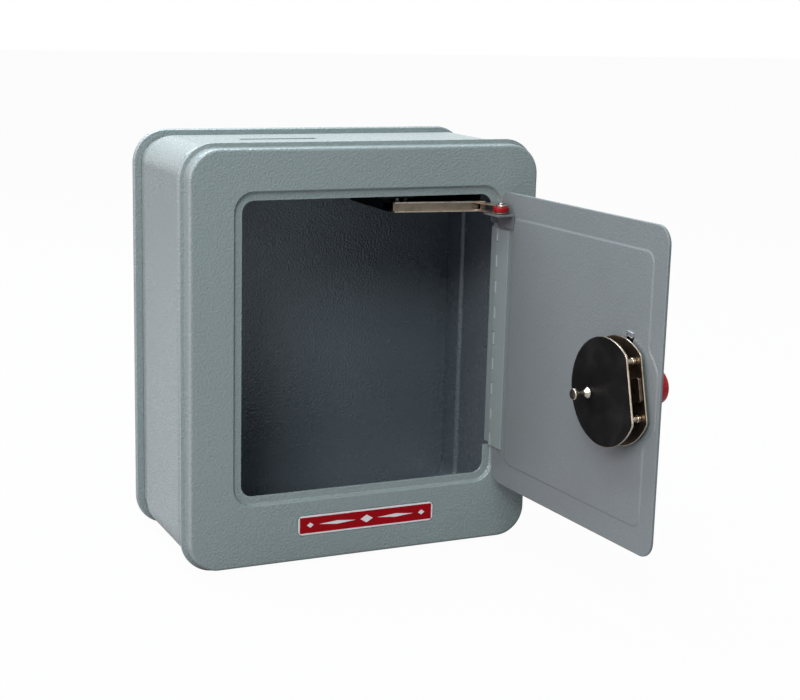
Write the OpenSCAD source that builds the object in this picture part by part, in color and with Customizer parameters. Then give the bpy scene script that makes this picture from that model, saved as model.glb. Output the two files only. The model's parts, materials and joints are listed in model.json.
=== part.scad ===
// Donation box: a small sheet steel safe with a combination lock and a door alarm.
// X to the right, Y to the rear, Z up. The origin lies on the middle of the front foot,
// which is the flat crest of the front rim, so Z = 0 is the surface the box stands on.

/* [Case] */
// Width over the rims
case_w = 154.7; // [146:0.1:200]
// Height over the rims
case_h = 173.1; // [172:0.1:230]
// Depth from the front face to the rear face
case_d = 80.4; // [78:0.1:120]
// Thickness of the sheet steel
sheet_t = 1; // [0.6:0.1:1.2]
// How far a rim stands out past the side walls
rim_out = 1.8; // [1:0.1:2.2]
// How deep the groove beside each rim is
groove_deep = 1.6; // [1.2:0.1:2.5]
// Corner radius of the side walls
side_r = 12.2; // [11:0.1:20]
// Rounding between a face and the side walls
edge_r = 1.5; // [1:0.1:1.5]
// Depth of each end cap, from its face to the lip of its rim
cap_d = 8.5; // [8.5:0.1:12]
// Width of the flat crest of a rim, on which the box stands
crest_w = 1.2; // [0.8:0.1:1.6]
// Width of the groove between the front rim and the side wall
groove_w = 6.2; // [4:0.1:7]
// Width of the groove between the rear rim and the side wall
rear_groove_w = 7.7; // [5:0.1:9]

/* [Coin slot] */
// Length of the coin slot
slot_l = 34; // [26:0.5:40]
// Width of the coin slot
slot_w = 4.6; // [4.2:0.1:6]
// Place of the slot's middle from the case's centre line, to the right
slot_x = -24.7; // [-40:0.1:-20]

/* [Door opening] */
// Left edge of the recess for the door, from the centre line
recess_left = 57.15; // [55:0.05:60]
// Bottom of the recess above the surface
recess_bottom = 27.8; // [25:0.1:31]
// Top of the recess below the top of the case
recess_top_gap = 18.7; // [16:0.1:24]
// Corner radius of the recess
recess_r = 8; // [6:0.1:10]
// Depth of the recess
recess_deep = 1.6; // [1.4:0.1:2]
// Width of the sloping wall of the recess
slope_w = 0.7; // [0.4:0.1:1.2]
// Width of the ledge on the left, above and below the opening
ledge_w = 3.4; // [2.6:0.1:5]
// Distance of the opening's right edge from the hinge axis
ledge_right = 3.2; // [2.6:0.1:5]
// Corner radius of the opening
opening_r = 5; // [3:0.1:8]

/* [Label] */
// Width of the label
label_w = 62.2; // [50:0.1:80]
// Height of the label
label_h = 9.4; // [7:0.1:10.5]
// Corner radius of the label
label_r = 2; // [1:0.1:3]
// Place of the label's middle from the centre line
label_x = 0.95; // [-5:0.05:5]
// Height of the label's middle above the surface
label_z = 17.2; // [16:0.1:18]
// Depth of the pocket that holds the label
label_pocket = 0.4; // [0.3:0.05:0.6]
// Thickness of the label
label_t = 0.3; // [0.2:0.05:0.5]

/* [Door] */
// Angle that the door stands open
door_open = 93.56; // [0:0.01:93.56]
// Angle that the door opens in all
door_swing = 93.56; // [93.56:0.01:93.56]
// Thickness of the door panel
door_t = 1.2; // [0.8:0.1:1.2]
// Distance from the hinge axis to the door's free edge
door_reach = 115; // [112:0.1:115.2]
// Gap between the door's lower edge and the foot of the recess's wall
door_gap_bottom = 0.1; // [0.1:0.05:1.5]
// Gap between the door's upper edge and the foot of the recess's wall
door_gap_top = 1.4; // [0.3:0.1:2]
// How much less the door's corner radius is than the recess's at its foot
door_corner_less = 0.65; // [0.3:0.05:1.5]
// Corner radius of the pressed field in the door
field_r = 5; // [3:0.1:7]
// Margin of the pressed field from the hinge edge
field_margin_hinge = 7.5; // [6:0.1:14]
// Margin of the pressed field from the free edge
field_margin_free = 7.4; // [6:0.1:14]
// Margin of the pressed field from the top and bottom edges
field_margin_z = 9.6; // [8:0.1:14]
// Radius of the round field behind the dial
field_round_r = 24.3; // [22:0.1:25]
// How far the fields are pressed inwards
field_h = 0.3; // [0.2:0.05:0.3]
// Width of the sloping edge of the fields
field_slope = 1; // [0.8:0.1:1.4]

/* [Hinge] */
// Distance of the hinge axis from the centre line
hinge_x = 58.57; // [57:0.01:60]
// Depth of the hinge axis behind the front face
hinge_y = 0.6; // [0.5:0.05:0.7]
// Outer radius of the hinge knuckles
knuckle_r = 1.25; // [1.2:0.01:1.3]
// Radius of the hinge pin
hinge_pin_r = 0.57; // [0.4:0.01:0.65]
// Gap between the hinge pin and the knuckles
pin_gap = 0.03; // [0.02:0.01:0.06]
// Length of one knuckle and its gap
knuckle_pitch = 5.5; // [5:0.1:5.6]
// Gap between two knuckles
knuckle_gap = 0.15; // [0.1:0.01:0.4]
// Distance of the hinge's top below the door's upper edge
hinge_drop = 15.75; // [15:0.05:18]
// Least distance of the hinge's bottom above the door's lower edge
hinge_foot = 15; // [12:0.1:20]
// Thickness of the hinge leaves
leaf_t = 0.6; // [0.4:0.05:0.7]
// Reach of the hinge leaves from the axis
leaf_w = 7.5; // [5:0.1:8.5]

/* [Lock] */
// Distance of the lock's centre from the hinge axis
lock_s = 91.86; // [88:0.01:92]
// Distance of the lock's centre below the door's middle
lock_drop = 2.24; // [-10:0.01:20]
// Radius of the lock plates
plate_r = 20.79; // [19.5:0.01:22]
// Distance of the plates' flat from the lock's centre
plate_flat = 16.52; // [15.5:0.01:17.5]
// Angle that the flat's normal is turned up
lock_tilt = 13.74; // [5:0.01:20]
// Thickness of the lock plates
plate_t = 0.8; // [0.6:0.05:1]
// Height of the feet between the door and the back plate
foot_l = 1.31; // [1:0.01:1.6]
// Gap between the two lock plates
plate_space = 5.62; // [5.5:0.01:6.6]
// Radius of the posts between the plates
post_r = 1.4; // [1:0.1:1.6]
// Distance of the two front posts from the lock's centre, towards the flat
post_front = 12.5; // [12:0.1:13.5]
// Distance of the two front posts from the lock's middle line
post_across = 10.5; // [9:0.1:12]
// Distance of the rear post from the lock's centre
post_rear = 15.6; // [15.5:0.1:17]
// Radius of the lock's spindle
spindle_r = 2; // [1.5:0.1:2]
// Running gap round the spindle
spindle_gap = 0.05; // [0.03:0.01:0.08]
// Radius of the lock wheels
wheel_r = 7.6; // [6.5:0.1:7.7]
// Thickness of a lock wheel
wheel_t = 0.9; // [0.6:0.05:1]
// Gap on each side of a lock wheel
wheel_gap = 0.25; // [0.15:0.01:0.3]
// Number of loose wheels besides the drive wheel
loose_wheels = 2; // [2:1:2]
// Width of the gate cut in each wheel
gate_w = 2.2; // [1.6:0.1:3]
// Depth of the gate cut in each wheel
gate_deep = 2; // [1:0.1:2.5]
// Width of the bolt
bolt_w = 9; // [7:0.1:10]
// Thickness of the bolt
bolt_t = 1.4; // [1:0.1:1.5]
// Travel of the bolt
bolt_travel = 7.2; // [6.4:0.1:7.4]
// How far the drawn bolt stays inside the plates' flat
bolt_back = 0.5; // [0.2:0.1:1]

/* [Setting knob] */
// Distance of the setting knob from the lock's centre
set_back = 9.4; // [9.3:0.05:10]
// Length of the setting knob outside the front plate
set_l = 7.2; // [6:0.1:9]
// Radius of the knob's two discs
set_r = 2.2; // [1.8:0.1:2.6]
// Radius of the knob's waist
set_waist_r = 0.8; // [0.6:0.05:1]
// Travel of the setting knob as it is pulled
set_travel = 2; // [1:0.1:2]
// Radius of the collar that holds the knob in the lock
set_collar_r = 1.4; // [1.1:0.05:1.5]

/* [Dial] */
// Radius of the number disc
dial_r = 15; // [12:0.1:18]
// Thickness of the number disc
dial_t = 2.4; // [1.5:0.1:4]
// Radius of the grip knob
grip_r = 6.7; // [5:0.1:8]
// Length of the grip knob
grip_l = 13.5; // [8:0.1:16]
// Gap between the number disc and the door
dial_gap = 0.35; // [0.2:0.05:0.8]
// Distance of the index mark's middle from the lock's centre
index_rise = 21.7; // [20:0.1:24]
// Angle of the index mark from the vertical, towards the free edge
index_turn = 10.2; // [0:0.1:15]
// Width of the index mark
index_w = 4.6; // [3:0.1:6]
// Length of the index mark
index_l = 7; // [5:0.1:8]
// Thickness of the index mark and its tab
index_t = 0.5; // [0.4:0.05:0.6]
// Length of the index mark's tab inside the door
tab_l = 3; // [2:0.1:4]

/* [Alarm] */
// Distance of the alarm pivot from the hinge axis along the door
pivot_s = 9; // [8:0.1:10]
// Distance of the alarm pivot from the hinge axis across the door
pivot_off = 5; // [5:0.1:5.5]
// Distance of the alarm arm's underside below the top of the opening
arm_drop = 7.2; // [7:0.1:8]
// Height of the channel of the alarm arm
arm_h = 4.2; // [3.8:0.1:4.4]
// Depth of the channel of the alarm arm
arm_w = 3.2; // [2.6:0.1:3.4]
// Thickness of the channel's walls
arm_t = 0.5; // [0.4:0.05:0.6]
// Length of the channel from the elbow
arm_l = 36.8; // [34:0.1:38]
// Distance from the pivot to the elbow
neck_l = 13; // [12:0.1:13.5]
// Angle of the neck to the rear of the left, seen from above, door open
neck_angle = 107.4; // [106:0.1:109]
// Angle of the channel to the left, seen from above, door open
arm_angle = 7.5; // [7:0.1:8]
// Turn of the arm on the door for each degree that the door turns
arm_ratio = 1.19; // [1.19:0.01:1.19]
// Radius of the neck's round ends
neck_r = 2.3; // [1.9:0.1:2.4]
// Radius of the alarm roller
roller_r = 4; // [3:0.1:4.2]
// Thickness of the alarm roller
roller_t = 2.3; // [1.5:0.1:2.3]
// Gap above and below the roller
roller_gap = 0.15; // [0.1:0.01:0.2]
// Radius of the pivot rivet
rivet_r = 1; // [0.7:0.05:1.1]
// Height of the rivet's domed head
rivet_head_h = 0.9; // [0.5:0.1:1.2]
// Thickness of the lug on the door
lug_t = 0.8; // [0.6:0.05:0.9]
// Height of the lug's foot on the door
lug_h = 6.1; // [5:0.1:6.2]
// Length of the lug along the door
lug_l = 12; // [11:0.1:13]
// Reach of the lug's cheek from the door
cheek_w = 4; // [3:0.1:4.5]

/* [Bell] */
// Left wall of the alarm housing from the centre line
housing_x = 16.25; // [15:0.05:19]
// Width of the alarm housing
housing_w = 43; // [40:0.1:48]
// Front of the alarm housing behind the front face
housing_y = 19.6; // [19.4:0.1:21]
// Depth of the alarm housing
housing_d = 40.4; // [38:0.1:42]
// Height of the alarm housing, which hangs from the case's top
housing_h = 27.8; // [27.5:0.1:30]
// Wall of the alarm housing
housing_t = 1; // [0.6:0.1:1.2]
// Radius of the bell
bell_r = 13; // [10:0.1:14]
// Height of the bell
bell_h = 11; // [8:0.1:13]
// Wall of the bell
bell_t = 0.9; // [0.6:0.05:1.2]
// Distance of the bell's axis from the housing's left wall
bell_x = 26; // [25:0.1:27]
// Distance of the bell's axis from the housing's front
bell_y = 24.4; // [24:0.1:25]
// Height of the bell's mouth above the housing's floor
bell_lift = 4; // [3:0.1:5]
// Radius of the bell's post
bell_post_r = 1.6; // [1.2:0.1:2]
// Distance of the striker's pivot from the housing's left wall
strike_x = 7; // [6.8:0.1:7.4]
// Distance of the striker's pivot from the housing's front
strike_y = 6.4; // [6:0.1:6.8]
// Length of the striker from its pivot to its head
strike_l = 14; // [13.5:0.1:14.5]
// Radius of the striker's head
strike_r = 2; // [1.6:0.1:2.2]
// Distance between the striker's head and the bell at rest
strike_gap = 3; // [2:0.1:3.5]
// Length of the striker's tail
tail_l = 13.9; // [13:0.1:14]
// Radius of the striker's pin
strike_pin_r = 1; // [0.7:0.05:1.2]

/* [Arm guide] */
// Height of the guide plate above the alarm arm
guide_rise = 1.9; // [1.6:0.1:2.4]
// Distance of the guide pin from the arm's left end
guide_in = 5; // [4:0.1:7]
// Radius of the guide pin
guide_pin_r = 0.8; // [0.6:0.05:1]
// Gap between the guide pin and the slot at the ends of its path
guide_play = 0.4; // [0.3:0.05:0.8]

/* [Hidden] */
$fn = 64;
tiny = 0.01;
over = 1;
lap = 1;
small_fn = 32;
arc_steps = 6;

// Case
rim_behind = 1.5;
foot_depth = cap_d - rim_behind;
foot_flat_front = foot_depth - crest_w / 2;
foot_flat_rear = foot_depth + crest_w / 2;
lip_back = 0.5;
rim_slope = 1.2;
seat_gap = 0.05;
rim_seat = 0.6;
joggle_l = 1.3;
half_side = case_w / 2 - rim_out;
turn_x = half_side - side_r;
turn_z0 = rim_out + side_r;
turn_z1 = case_h - rim_out - side_r;
neck_out = side_r - groove_deep;
groove_end = cap_d + groove_w;
rear_groove_start = case_d - cap_d - rear_groove_w;
ceiling_z = case_h - rim_out - sheet_t;

// Door and its opening
barrel_gap = 0.1;
frame_edge_x = hinge_x + knuckle_r + barrel_gap;
recess_past = 0.3;
recess_right = hinge_x + recess_past;
recess_top = case_h - recess_top_gap;
recess_turn_x0 = -recess_left + recess_r;
recess_turn_x1 = recess_right - recess_r;
recess_turn_z0 = recess_bottom + recess_r;
recess_turn_z1 = recess_top - recess_r;
slope_half = slope_w / 2;
slope_shift = 0.6;
opening_left = -recess_left + ledge_w;
opening_right = hinge_x - ledge_right;
opening_bottom = recess_bottom + ledge_w;
opening_top = recess_top - ledge_w;
arm_z = opening_top - arm_drop;
notch_gap = 0.2;
notch_rise = 2.7;
notch_top = arm_z + notch_rise;
notch_left = opening_right - opening_r;
leaf_back = hinge_y + leaf_w;
leaf_free_y = knuckle_r + barrel_gap;

// Door panel
door_inner = knuckle_r - leaf_t;
door_outer = door_inner - door_t;
field_inner = door_inner + field_h;
field_outer = door_outer + field_h;
field_edge = 1.2;
door_start_gap = 0.25;
door_start = knuckle_r + door_start_gap;
door_z0 = recess_bottom + slope_half + door_gap_bottom;
door_z1 = recess_top - slope_half - door_gap_top;
door_r = recess_r - slope_half - door_corner_less;
hinge_top = door_z1 - hinge_drop;
knuckle_pairs = floor(((hinge_top - door_z0 - hinge_foot) / knuckle_pitch - 1 + tiny) / 2);
knuckle_count = 2 * knuckle_pairs + 1;
hinge_z = hinge_top - knuckle_pitch * knuckle_count;

// Lock
lock_z = (door_z0 + door_z1) / 2 - lock_drop;
back_plate_y0 = door_inner + foot_l;
back_plate_y1 = back_plate_y0 + plate_t;
front_plate_y0 = back_plate_y1 + plate_space;
front_plate_y1 = front_plate_y0 + plate_t;
bolt_gap = 0.2;
bolt_y0 = back_plate_y1 + bolt_gap;
bolt_y1 = bolt_y0 + bolt_t;
wheel_y0 = bolt_y1 + wheel_gap;
wheel_pitch = wheel_t + wheel_gap;
spindle_short = 0.1;
spindle_end = front_plate_y0 - spindle_short;
spindle_bore = spindle_r + spindle_gap;
bolt_tip = plate_flat - bolt_back;
bolt_slot_gap = 0.5;
bolt_slot_r = spindle_r + bolt_slot_gap;
bolt_web = 2;
bolt_tail = bolt_travel + bolt_slot_r + bolt_web;
bolt_corner = 1;
collar_t = 0.8;
set_disc_t = 1.2;
set_lift = 0.05;
foot_r = 2;
cone_l = 1.4;
collar_stop = 0.1;

// Dial
dial_y1 = door_outer - dial_gap;
dial_y0 = dial_y1 - dial_t;
grip_y0 = dial_y0 - grip_l;
flute_count = 24;
flute_r = 0.45;
flute_stop = 1;
grip_crown = 1;
index_gap = 0.15;

// Alarm
pivot_xy = pivot_at(door_open);
arm_turn = (door_swing - door_open) * (arm_ratio - 1);
ear_rise = 0.3;
ear_z0 = arm_z + ear_rise;
roller_z0 = ear_z0 + arm_t + roller_gap;
ear_z1 = roller_z0 + roller_t + roller_gap;
lug_gap = 0.15;
lug_top = ear_z0 - lug_gap;
lug_z0 = lug_top - lug_h;
rivet_seat = 0.05;
lug_start = 1.2;
cheek_r = 1.5;
shelf_past = 3;
shelf_w = pivot_off + shelf_past;
rivet_rim = 0.3;
rivet_gap = 0.04;
rivet_head_r = rivet_r + rivet_rim;
rivet_bore = rivet_r + rivet_gap;
tooth_count = 4;
tooth_pitch = 2;
tooth_deep = 0.8;
guide_z0 = arm_z + arm_h + guide_rise;
guide_t = 1;
guide_pin_top = guide_z0 + guide_t + guide_pin_r;

// Bell
housing_top = ceiling_z;
housing_z = housing_top - housing_h;
bell_cx = housing_x + bell_x;
bell_cy = housing_y + bell_y;
bell_z0 = housing_z + housing_t + bell_lift;
bell_z1 = bell_z0 + bell_h;
roof_z = housing_top - housing_t;
bell_dome = 4;
post_flange = 1.4;
post_head_r = bell_post_r + post_flange;
post_head_t = 1;
strike_cx = housing_x + strike_x;
strike_cy = housing_y + strike_y;
strike_span = norm([bell_cx - strike_cx, bell_cy - strike_cy]);
strike_reach = bell_r + strike_r + strike_gap;
strike_line = atan2(bell_cy - strike_cy, bell_cx - strike_cx);
strike_angle = strike_line + acos(
    (pow(strike_span, 2) + pow(strike_l, 2) - pow(strike_reach, 2)) / (2 * strike_span * strike_l)
);
tail_angle = 241;
tail_w = 1.6;
lever_lift = 0.3;
lever_z0 = housing_z + housing_t + lever_lift;
lever_t = 1.2;
hub_r = 2.4;
hub_h = 2.2;
collar_gap = 0.1;
collar_wall = 0.8;
collar_r = strike_pin_r + collar_wall;
strike_head_h = bell_lift + strike_r;
tail_room = 7;
lever_room = 1;
strike_pin_gap = 0.05;

// Arm guide
elbow_dx = neck_l * cos(neck_angle);
elbow_dy = neck_l * sin(neck_angle);
pin_dx = elbow_dx - (arm_l - guide_in) * cos(arm_angle);
pin_dy = elbow_dy + (arm_l - guide_in) * sin(arm_angle);
guide_steps = 24;
guide_path = [for (i = [0 : guide_steps]) guide_pin_at(door_swing * i / guide_steps)];
guide_left = min([for (p = guide_path) p[0]]);
guide_right = max([for (p = guide_path) p[0]]);
guide_low_y = min([for (p = guide_path) p[1]]);
guide_high_y = max([for (p = guide_path) p[1]]);
guide_edge = 1.5;
guide_leg_w = 6;
guide_foot_w = 8;

// Alarm arm's pivot in the case when the door stands open by angle a
function pivot_at(a) = [
    hinge_x - pivot_s * cos(a) - pivot_off * sin(a),
    hinge_y - pivot_s * sin(a) + pivot_off * cos(a)
];

// Guide pin in the case when the door stands open by angle a
function guide_pin_at(a) =
    let (t = (door_swing - a) * (arm_ratio - 1))
    pivot_at(a) + [pin_dx * cos(t) - pin_dy * sin(t), pin_dx * sin(t) + pin_dy * cos(t)];

// Points of a quarter circle of radius r about [cx, cy], from angle a0 to angle a1
function arc(cx, cy, r, a0, a1) = [
    for (i = [0 : arc_steps])
        let (a = a0 + (a1 - a0) * i / arc_steps) [cx + r * cos(a), cy + r * sin(a)]
];

// Moves what is drawn from the front face to the foot, so that the foot's middle is the origin
module in_case() {
    translate([0, -foot_depth, 0]) children();
}

// Door frame of axes: X runs from the hinge axis along the door, Y from its face inwards
module on_door() {
    in_case()
        translate([hinge_x, hinge_y, 0])
        rotate([0, 0, door_open])
        mirror([1, 0, 0])
        children();
}

// Alarm arm's frame of axes: the origin at the pivot, turned with the arm
module on_arm() {
    in_case()
        translate([pivot_xy[0], pivot_xy[1], 0])
        rotate([0, 0, arm_turn])
        children();
}

// A flat outline in X and Z, made thick from y0 to y1
module slab_y(y0, y1) {
    translate([0, y1, 0])
        rotate([90, 0, 0])
        linear_extrude(y1 - y0)
        children();
}

// A flat outline in Y and Z, made thick from x0 to x1
module slab_x(x0, x1) {
    translate([x0, 0, 0])
        rotate([90, 0, 90])
        linear_extrude(x1 - x0)
        children();
}

// A rod along Y
module rod_y(r, y0, y1) {
    slab_y(y0, y1) circle(r);
}

// A rectangle between two corners with rounded corners
module round_rect(x0, z0, x1, z1, r) {
    translate([x0 + r, z0]) square([x1 - x0 - 2 * r, z1 - z0]);
    translate([x0, z0 + r]) square([x1 - x0, z1 - z0 - 2 * r]);
    for (x = [x0 + r, x1 - r])
        for (z = [z0 + r, z1 - r])
            translate([x, z]) circle(r);
}

// A section turned a quarter round an axis along Y, from +X to -Z
module corner_turn() {
    rotate([-90, 0, 0]) rotate_extrude(angle = 90) children();
}

// A section swept round a rectangle whose corner centres are at x0, x1, z0 and z1.
// The section's X is the distance outwards from the corner centres, its Y the depth.
module sweep_rect(x0, x1, z0, z1) {
    translate([x1, 0, z0]) linear_extrude(z1 - z0) children();
    translate([x0, 0, z0]) mirror([1, 0, 0]) linear_extrude(z1 - z0) children();
    translate([x1, 0, z1]) rotate([0, -90, 0]) linear_extrude(x1 - x0) children();
    translate([x1, 0, z0]) mirror([0, 0, 1]) rotate([0, -90, 0]) linear_extrude(x1 - x0) children();
    translate([x1, 0, z0]) corner_turn() children();
    translate([x0, 0, z0]) mirror([1, 0, 0]) corner_turn() children();
    translate([x1, 0, z1]) mirror([0, 0, 1]) corner_turn() children();
    translate([x0, 0, z1]) mirror([0, 0, 1]) mirror([1, 0, 0]) corner_turn() children();
}

// Section of an end cap: rounded edge, side, flared rim and the lip that grips the band
module cap_section() {
    rim_r = side_r + rim_out;
    inner_r = side_r - sheet_t;
    polygon(concat(
        [[side_r - edge_r - lap, 0]],
        arc(side_r - edge_r, edge_r, edge_r, -90, 0),
        [
            [side_r, foot_flat_front - rim_slope],
            [rim_r, foot_flat_front],
            [rim_r, foot_flat_rear],
            [rim_r - lip_back, cap_d],
            [neck_out + seat_gap, cap_d],
            [neck_out + seat_gap, cap_d - rim_seat],
            [rim_r - sheet_t, foot_flat_rear - rim_slope / 2],
            [inner_r, foot_flat_front - rim_slope - sheet_t / 2],
            [inner_r, edge_r],
            [side_r - edge_r - lap, sheet_t]
        ]
    ));
}

// An end cap with its flat face, open towards +Y
module cap_shell() {
    sweep_rect(-turn_x, turn_x, turn_z0, turn_z1) cap_section();
    plate_in = side_r - edge_r;
    slab_y(0, sheet_t)
        round_rect(-turn_x - plate_in, turn_z0 - plate_in, turn_x + plate_in, turn_z1 + plate_in, plate_in);
}

// The band: the box's top, bottom and sides, with a coin slot in its top
module body_band() {
    neck_end0 = cap_d;
    neck_end1 = case_d - cap_d;
    slot_y = case_d / 2;
    color("silver") in_case() difference() {
        sweep_rect(-turn_x, turn_x, turn_z0, turn_z1)
            polygon([
                [neck_out, neck_end0 - rim_seat],
                [neck_out, groove_end],
                [side_r, groove_end + joggle_l],
                [side_r, rear_groove_start - joggle_l],
                [neck_out, rear_groove_start],
                [neck_out, neck_end1 + rim_seat],
                [neck_out - sheet_t, neck_end1 + rim_seat],
                [neck_out - sheet_t, rear_groove_start - sheet_t / 2],
                [side_r - sheet_t, rear_groove_start - joggle_l - sheet_t / 2],
                [side_r - sheet_t, groove_end + joggle_l + sheet_t / 2],
                [neck_out - sheet_t, groove_end + sheet_t / 2],
                [neck_out - sheet_t, neck_end0 - rim_seat]
            ]);
        translate([slot_x - slot_l / 2, slot_y - slot_w / 2, ceiling_z - over])
            cube([slot_l, slot_w, sheet_t + 2 * over]);
    }
}

// The front frame: an end cap with a recess and an opening for the door
module front_frame() {
    slope_in = recess_r - slope_half;
    slope_out = recess_r + slope_half;
    color("slategray") in_case() difference() {
        union() {
            difference() {
                cap_shell();
                slab_y(-over, sheet_t + over)
                    round_rect(
                        recess_turn_x0 - slope_out - slope_shift,
                        recess_turn_z0 - slope_out - slope_shift,
                        recess_turn_x1 + slope_out + slope_shift,
                        recess_turn_z1 + slope_out + slope_shift,
                        slope_out + slope_shift
                    );
                slab_y(-over, label_pocket)
                    round_rect(
                        label_x - label_w / 2 - slope_half,
                        label_z - label_h / 2 - slope_half,
                        label_x + label_w / 2 + slope_half,
                        label_z + label_h / 2 + slope_half,
                        label_r + slope_half
                    );
            }
            sweep_rect(recess_turn_x0, recess_turn_x1, recess_turn_z0, recess_turn_z1)
                polygon([
                    [slope_out, 0],
                    [slope_out + slope_shift + lap, 0],
                    [slope_out + slope_shift + lap, sheet_t],
                    [slope_out + slope_shift, sheet_t],
                    [slope_in + slope_shift, recess_deep + sheet_t],
                    [slope_in - slope_shift - lap, recess_deep + sheet_t],
                    [slope_in - slope_shift - lap, recess_deep],
                    [slope_in, recess_deep]
                ]);
            slab_y(recess_deep, recess_deep + sheet_t)
                round_rect(
                    recess_turn_x0 - slope_in + slope_shift,
                    recess_turn_z0 - slope_in + slope_shift,
                    recess_turn_x1 + slope_in - slope_shift,
                    recess_turn_z1 + slope_in - slope_shift,
                    slope_in - slope_shift
                );
        }
        slab_y(0, recess_deep + sheet_t + over)
            round_rect(opening_left, opening_bottom, opening_right, opening_top, opening_r);
        translate([notch_left, -over, hinge_z - notch_gap])
            cube([
                frame_edge_x - notch_left,
                recess_deep + sheet_t + 2 * over,
                notch_top - hinge_z + notch_gap
            ]);
    }
    color("slategray") in_case()
        translate([frame_edge_x, sheet_t - tiny, hinge_z - notch_gap])
        cube([sheet_t, leaf_back - sheet_t + tiny, notch_top - hinge_z + notch_gap]);
}

// The rear cover: the same pressing as the front frame, without an opening
module rear_cover() {
    color("slategray") in_case()
        translate([0, case_d, 0])
        mirror([0, 1, 0])
        cap_shell();
}

// The label plate in its shallow pocket
module label_plate() {
    color("firebrick") in_case()
        slab_y(label_pocket - label_t, label_pocket)
        round_rect(
            label_x - label_w / 2, label_z - label_h / 2,
            label_x + label_w / 2, label_z + label_h / 2,
            label_r
        );
}

// The knuckles of one hinge leaf: every second one, starting with number first
module knuckles(first) {
    for (i = [first : 2 : knuckle_count - 1])
        translate([0, 0, hinge_z + knuckle_pitch * i + knuckle_gap / 2])
            children();
}

// One bored knuckle with the strip that runs from it to its leaf
module knuckle() {
    knuckle_l = knuckle_pitch - knuckle_gap;
    difference() {
        union() {
            cylinder(r = knuckle_r, h = knuckle_l);
            translate([0, knuckle_r - leaf_t, 0])
                cube([door_start + tiny, leaf_t, knuckle_l]);
        }
        translate([0, 0, -tiny])
            cylinder(r = hinge_pin_r + pin_gap, h = knuckle_l + 2 * tiny);
    }
}

// The leaf that is welded to the flange of the front frame
module hinge_leaf_frame() {
    color("gainsboro") in_case() translate([hinge_x, hinge_y, 0]) {
        knuckles(0)
            rotate([0, 0, 90])
            mirror([0, 1, 0])
            knuckle();
        translate([knuckle_r - leaf_t, leaf_free_y, hinge_z + knuckle_gap / 2])
            cube([
                leaf_t + barrel_gap,
                leaf_w - leaf_free_y,
                knuckle_pitch * knuckle_count - knuckle_gap
            ]);
    }
}

// The leaf that is welded to the inside of the door
module hinge_leaf_door() {
    color("gainsboro") on_door() {
        knuckles(1) knuckle();
        translate([door_start, knuckle_r - leaf_t, hinge_z + knuckle_gap / 2])
            cube([leaf_w - door_start, leaf_t, knuckle_pitch * knuckle_count - knuckle_gap]);
    }
}

// The pin through all the knuckles
module hinge_pin() {
    color("gray") in_case()
        translate([hinge_x, hinge_y, hinge_z])
        cylinder(r = hinge_pin_r, h = knuckle_pitch * knuckle_count, $fn = small_fn);
}

// Outline of the door panel
module door_outline(inset_hinge, inset_free, inset_z, r) {
    round_rect(door_start + inset_hinge, door_z0 + inset_z, door_reach - inset_free, door_z1 - inset_z, r);
}

// Outline of the pressed fields: a rectangle and a round joined, clear of the door's edge
module field_outline(inset) {
    intersection() {
        union() {
            door_outline(
                field_margin_hinge + inset,
                field_margin_free + inset,
                field_margin_z + inset,
                field_r - inset
            );
            translate([lock_s, lock_z]) circle(field_round_r - inset);
        }
        door_outline(field_edge + inset, field_edge + inset, field_edge + inset, door_r - field_edge - inset);
    }
}

// The door panel with its pressed fields, the spindle's hole and the slot for the index tab
module door_panel() {
    color("lightslategray") on_door() difference() {
        union() {
            slab_y(door_outer, door_inner) door_outline(0, 0, 0, door_r);
            slab_y(door_inner - lap / 2, door_inner + field_h) field_outline(0);
        }
        slab_y(door_outer - over, door_outer + field_h) field_outline(field_slope);
        at_lock() rod_y(spindle_bore, door_outer - over, door_inner + over);
        at_index()
            translate([-index_w / 2 - index_gap, door_outer - over, -index_t / 2 - index_gap])
            cube([index_w + 2 * index_gap, door_t + 2 * over, index_t + 2 * index_gap]);
    }
}

// Lug on the inside of the door, which carries the alarm arm's pivot
module door_lug() {
    color("dimgray") on_door() {
        translate([lug_start, field_inner, lug_z0])
            cube([lug_l, lug_t, lug_h]);
        slab_x(lug_start, lug_start + lug_t) {
            round_rect(field_inner, lug_z0 + cheek_r, field_inner + cheek_w, lug_top, cheek_r);
            translate([field_inner, lug_top - 2 * cheek_r]) square([cheek_w, 2 * cheek_r]);
        }
        difference() {
            translate([lug_start, field_inner, lug_top - lug_t])
                cube([lug_l, shelf_w - field_h, lug_t]);
            translate([pivot_s, pivot_off, lug_top - lug_t - over])
                cylinder(r = rivet_r, h = lug_t + 2 * over, $fn = small_fn);
        }
    }
}

// The rivet that is the pivot of the alarm arm and of its roller
module lug_rivet() {
    head_z = ear_z1 + arm_t + rivet_seat;
    crown_r = rivet_r / 2;
    color("white") on_door() translate([pivot_s, pivot_off, 0]) {
        translate([0, 0, lug_top - lug_t])
            cylinder(r = rivet_r, h = head_z - lug_top + lug_t + tiny, $fn = small_fn);
        translate([0, 0, head_z])
            rotate_extrude($fn = small_fn)
            polygon(concat(
                [[0, 0], [rivet_head_r, 0]],
                arc(rivet_head_r - crown_r, rivet_head_h - crown_r, crown_r, 0, 90),
                [[0, rivet_head_h]]
            ));
    }
}

// One ear of the alarm arm: a strip with round ends from the pivot to the elbow
module arm_ear(z) {
    translate([0, 0, z]) difference() {
        union() {
            cylinder(r = neck_r, h = arm_t);
            rotate([0, 0, neck_angle]) {
                translate([0, -neck_r, 0]) cube([neck_l, 2 * neck_r, arm_t]);
                translate([neck_l, 0, 0]) cylinder(r = neck_r, h = arm_t);
            }
        }
        translate([0, 0, -tiny])
            cylinder(r = rivet_bore, h = arm_t + 2 * tiny, $fn = small_fn);
    }
}

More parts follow.
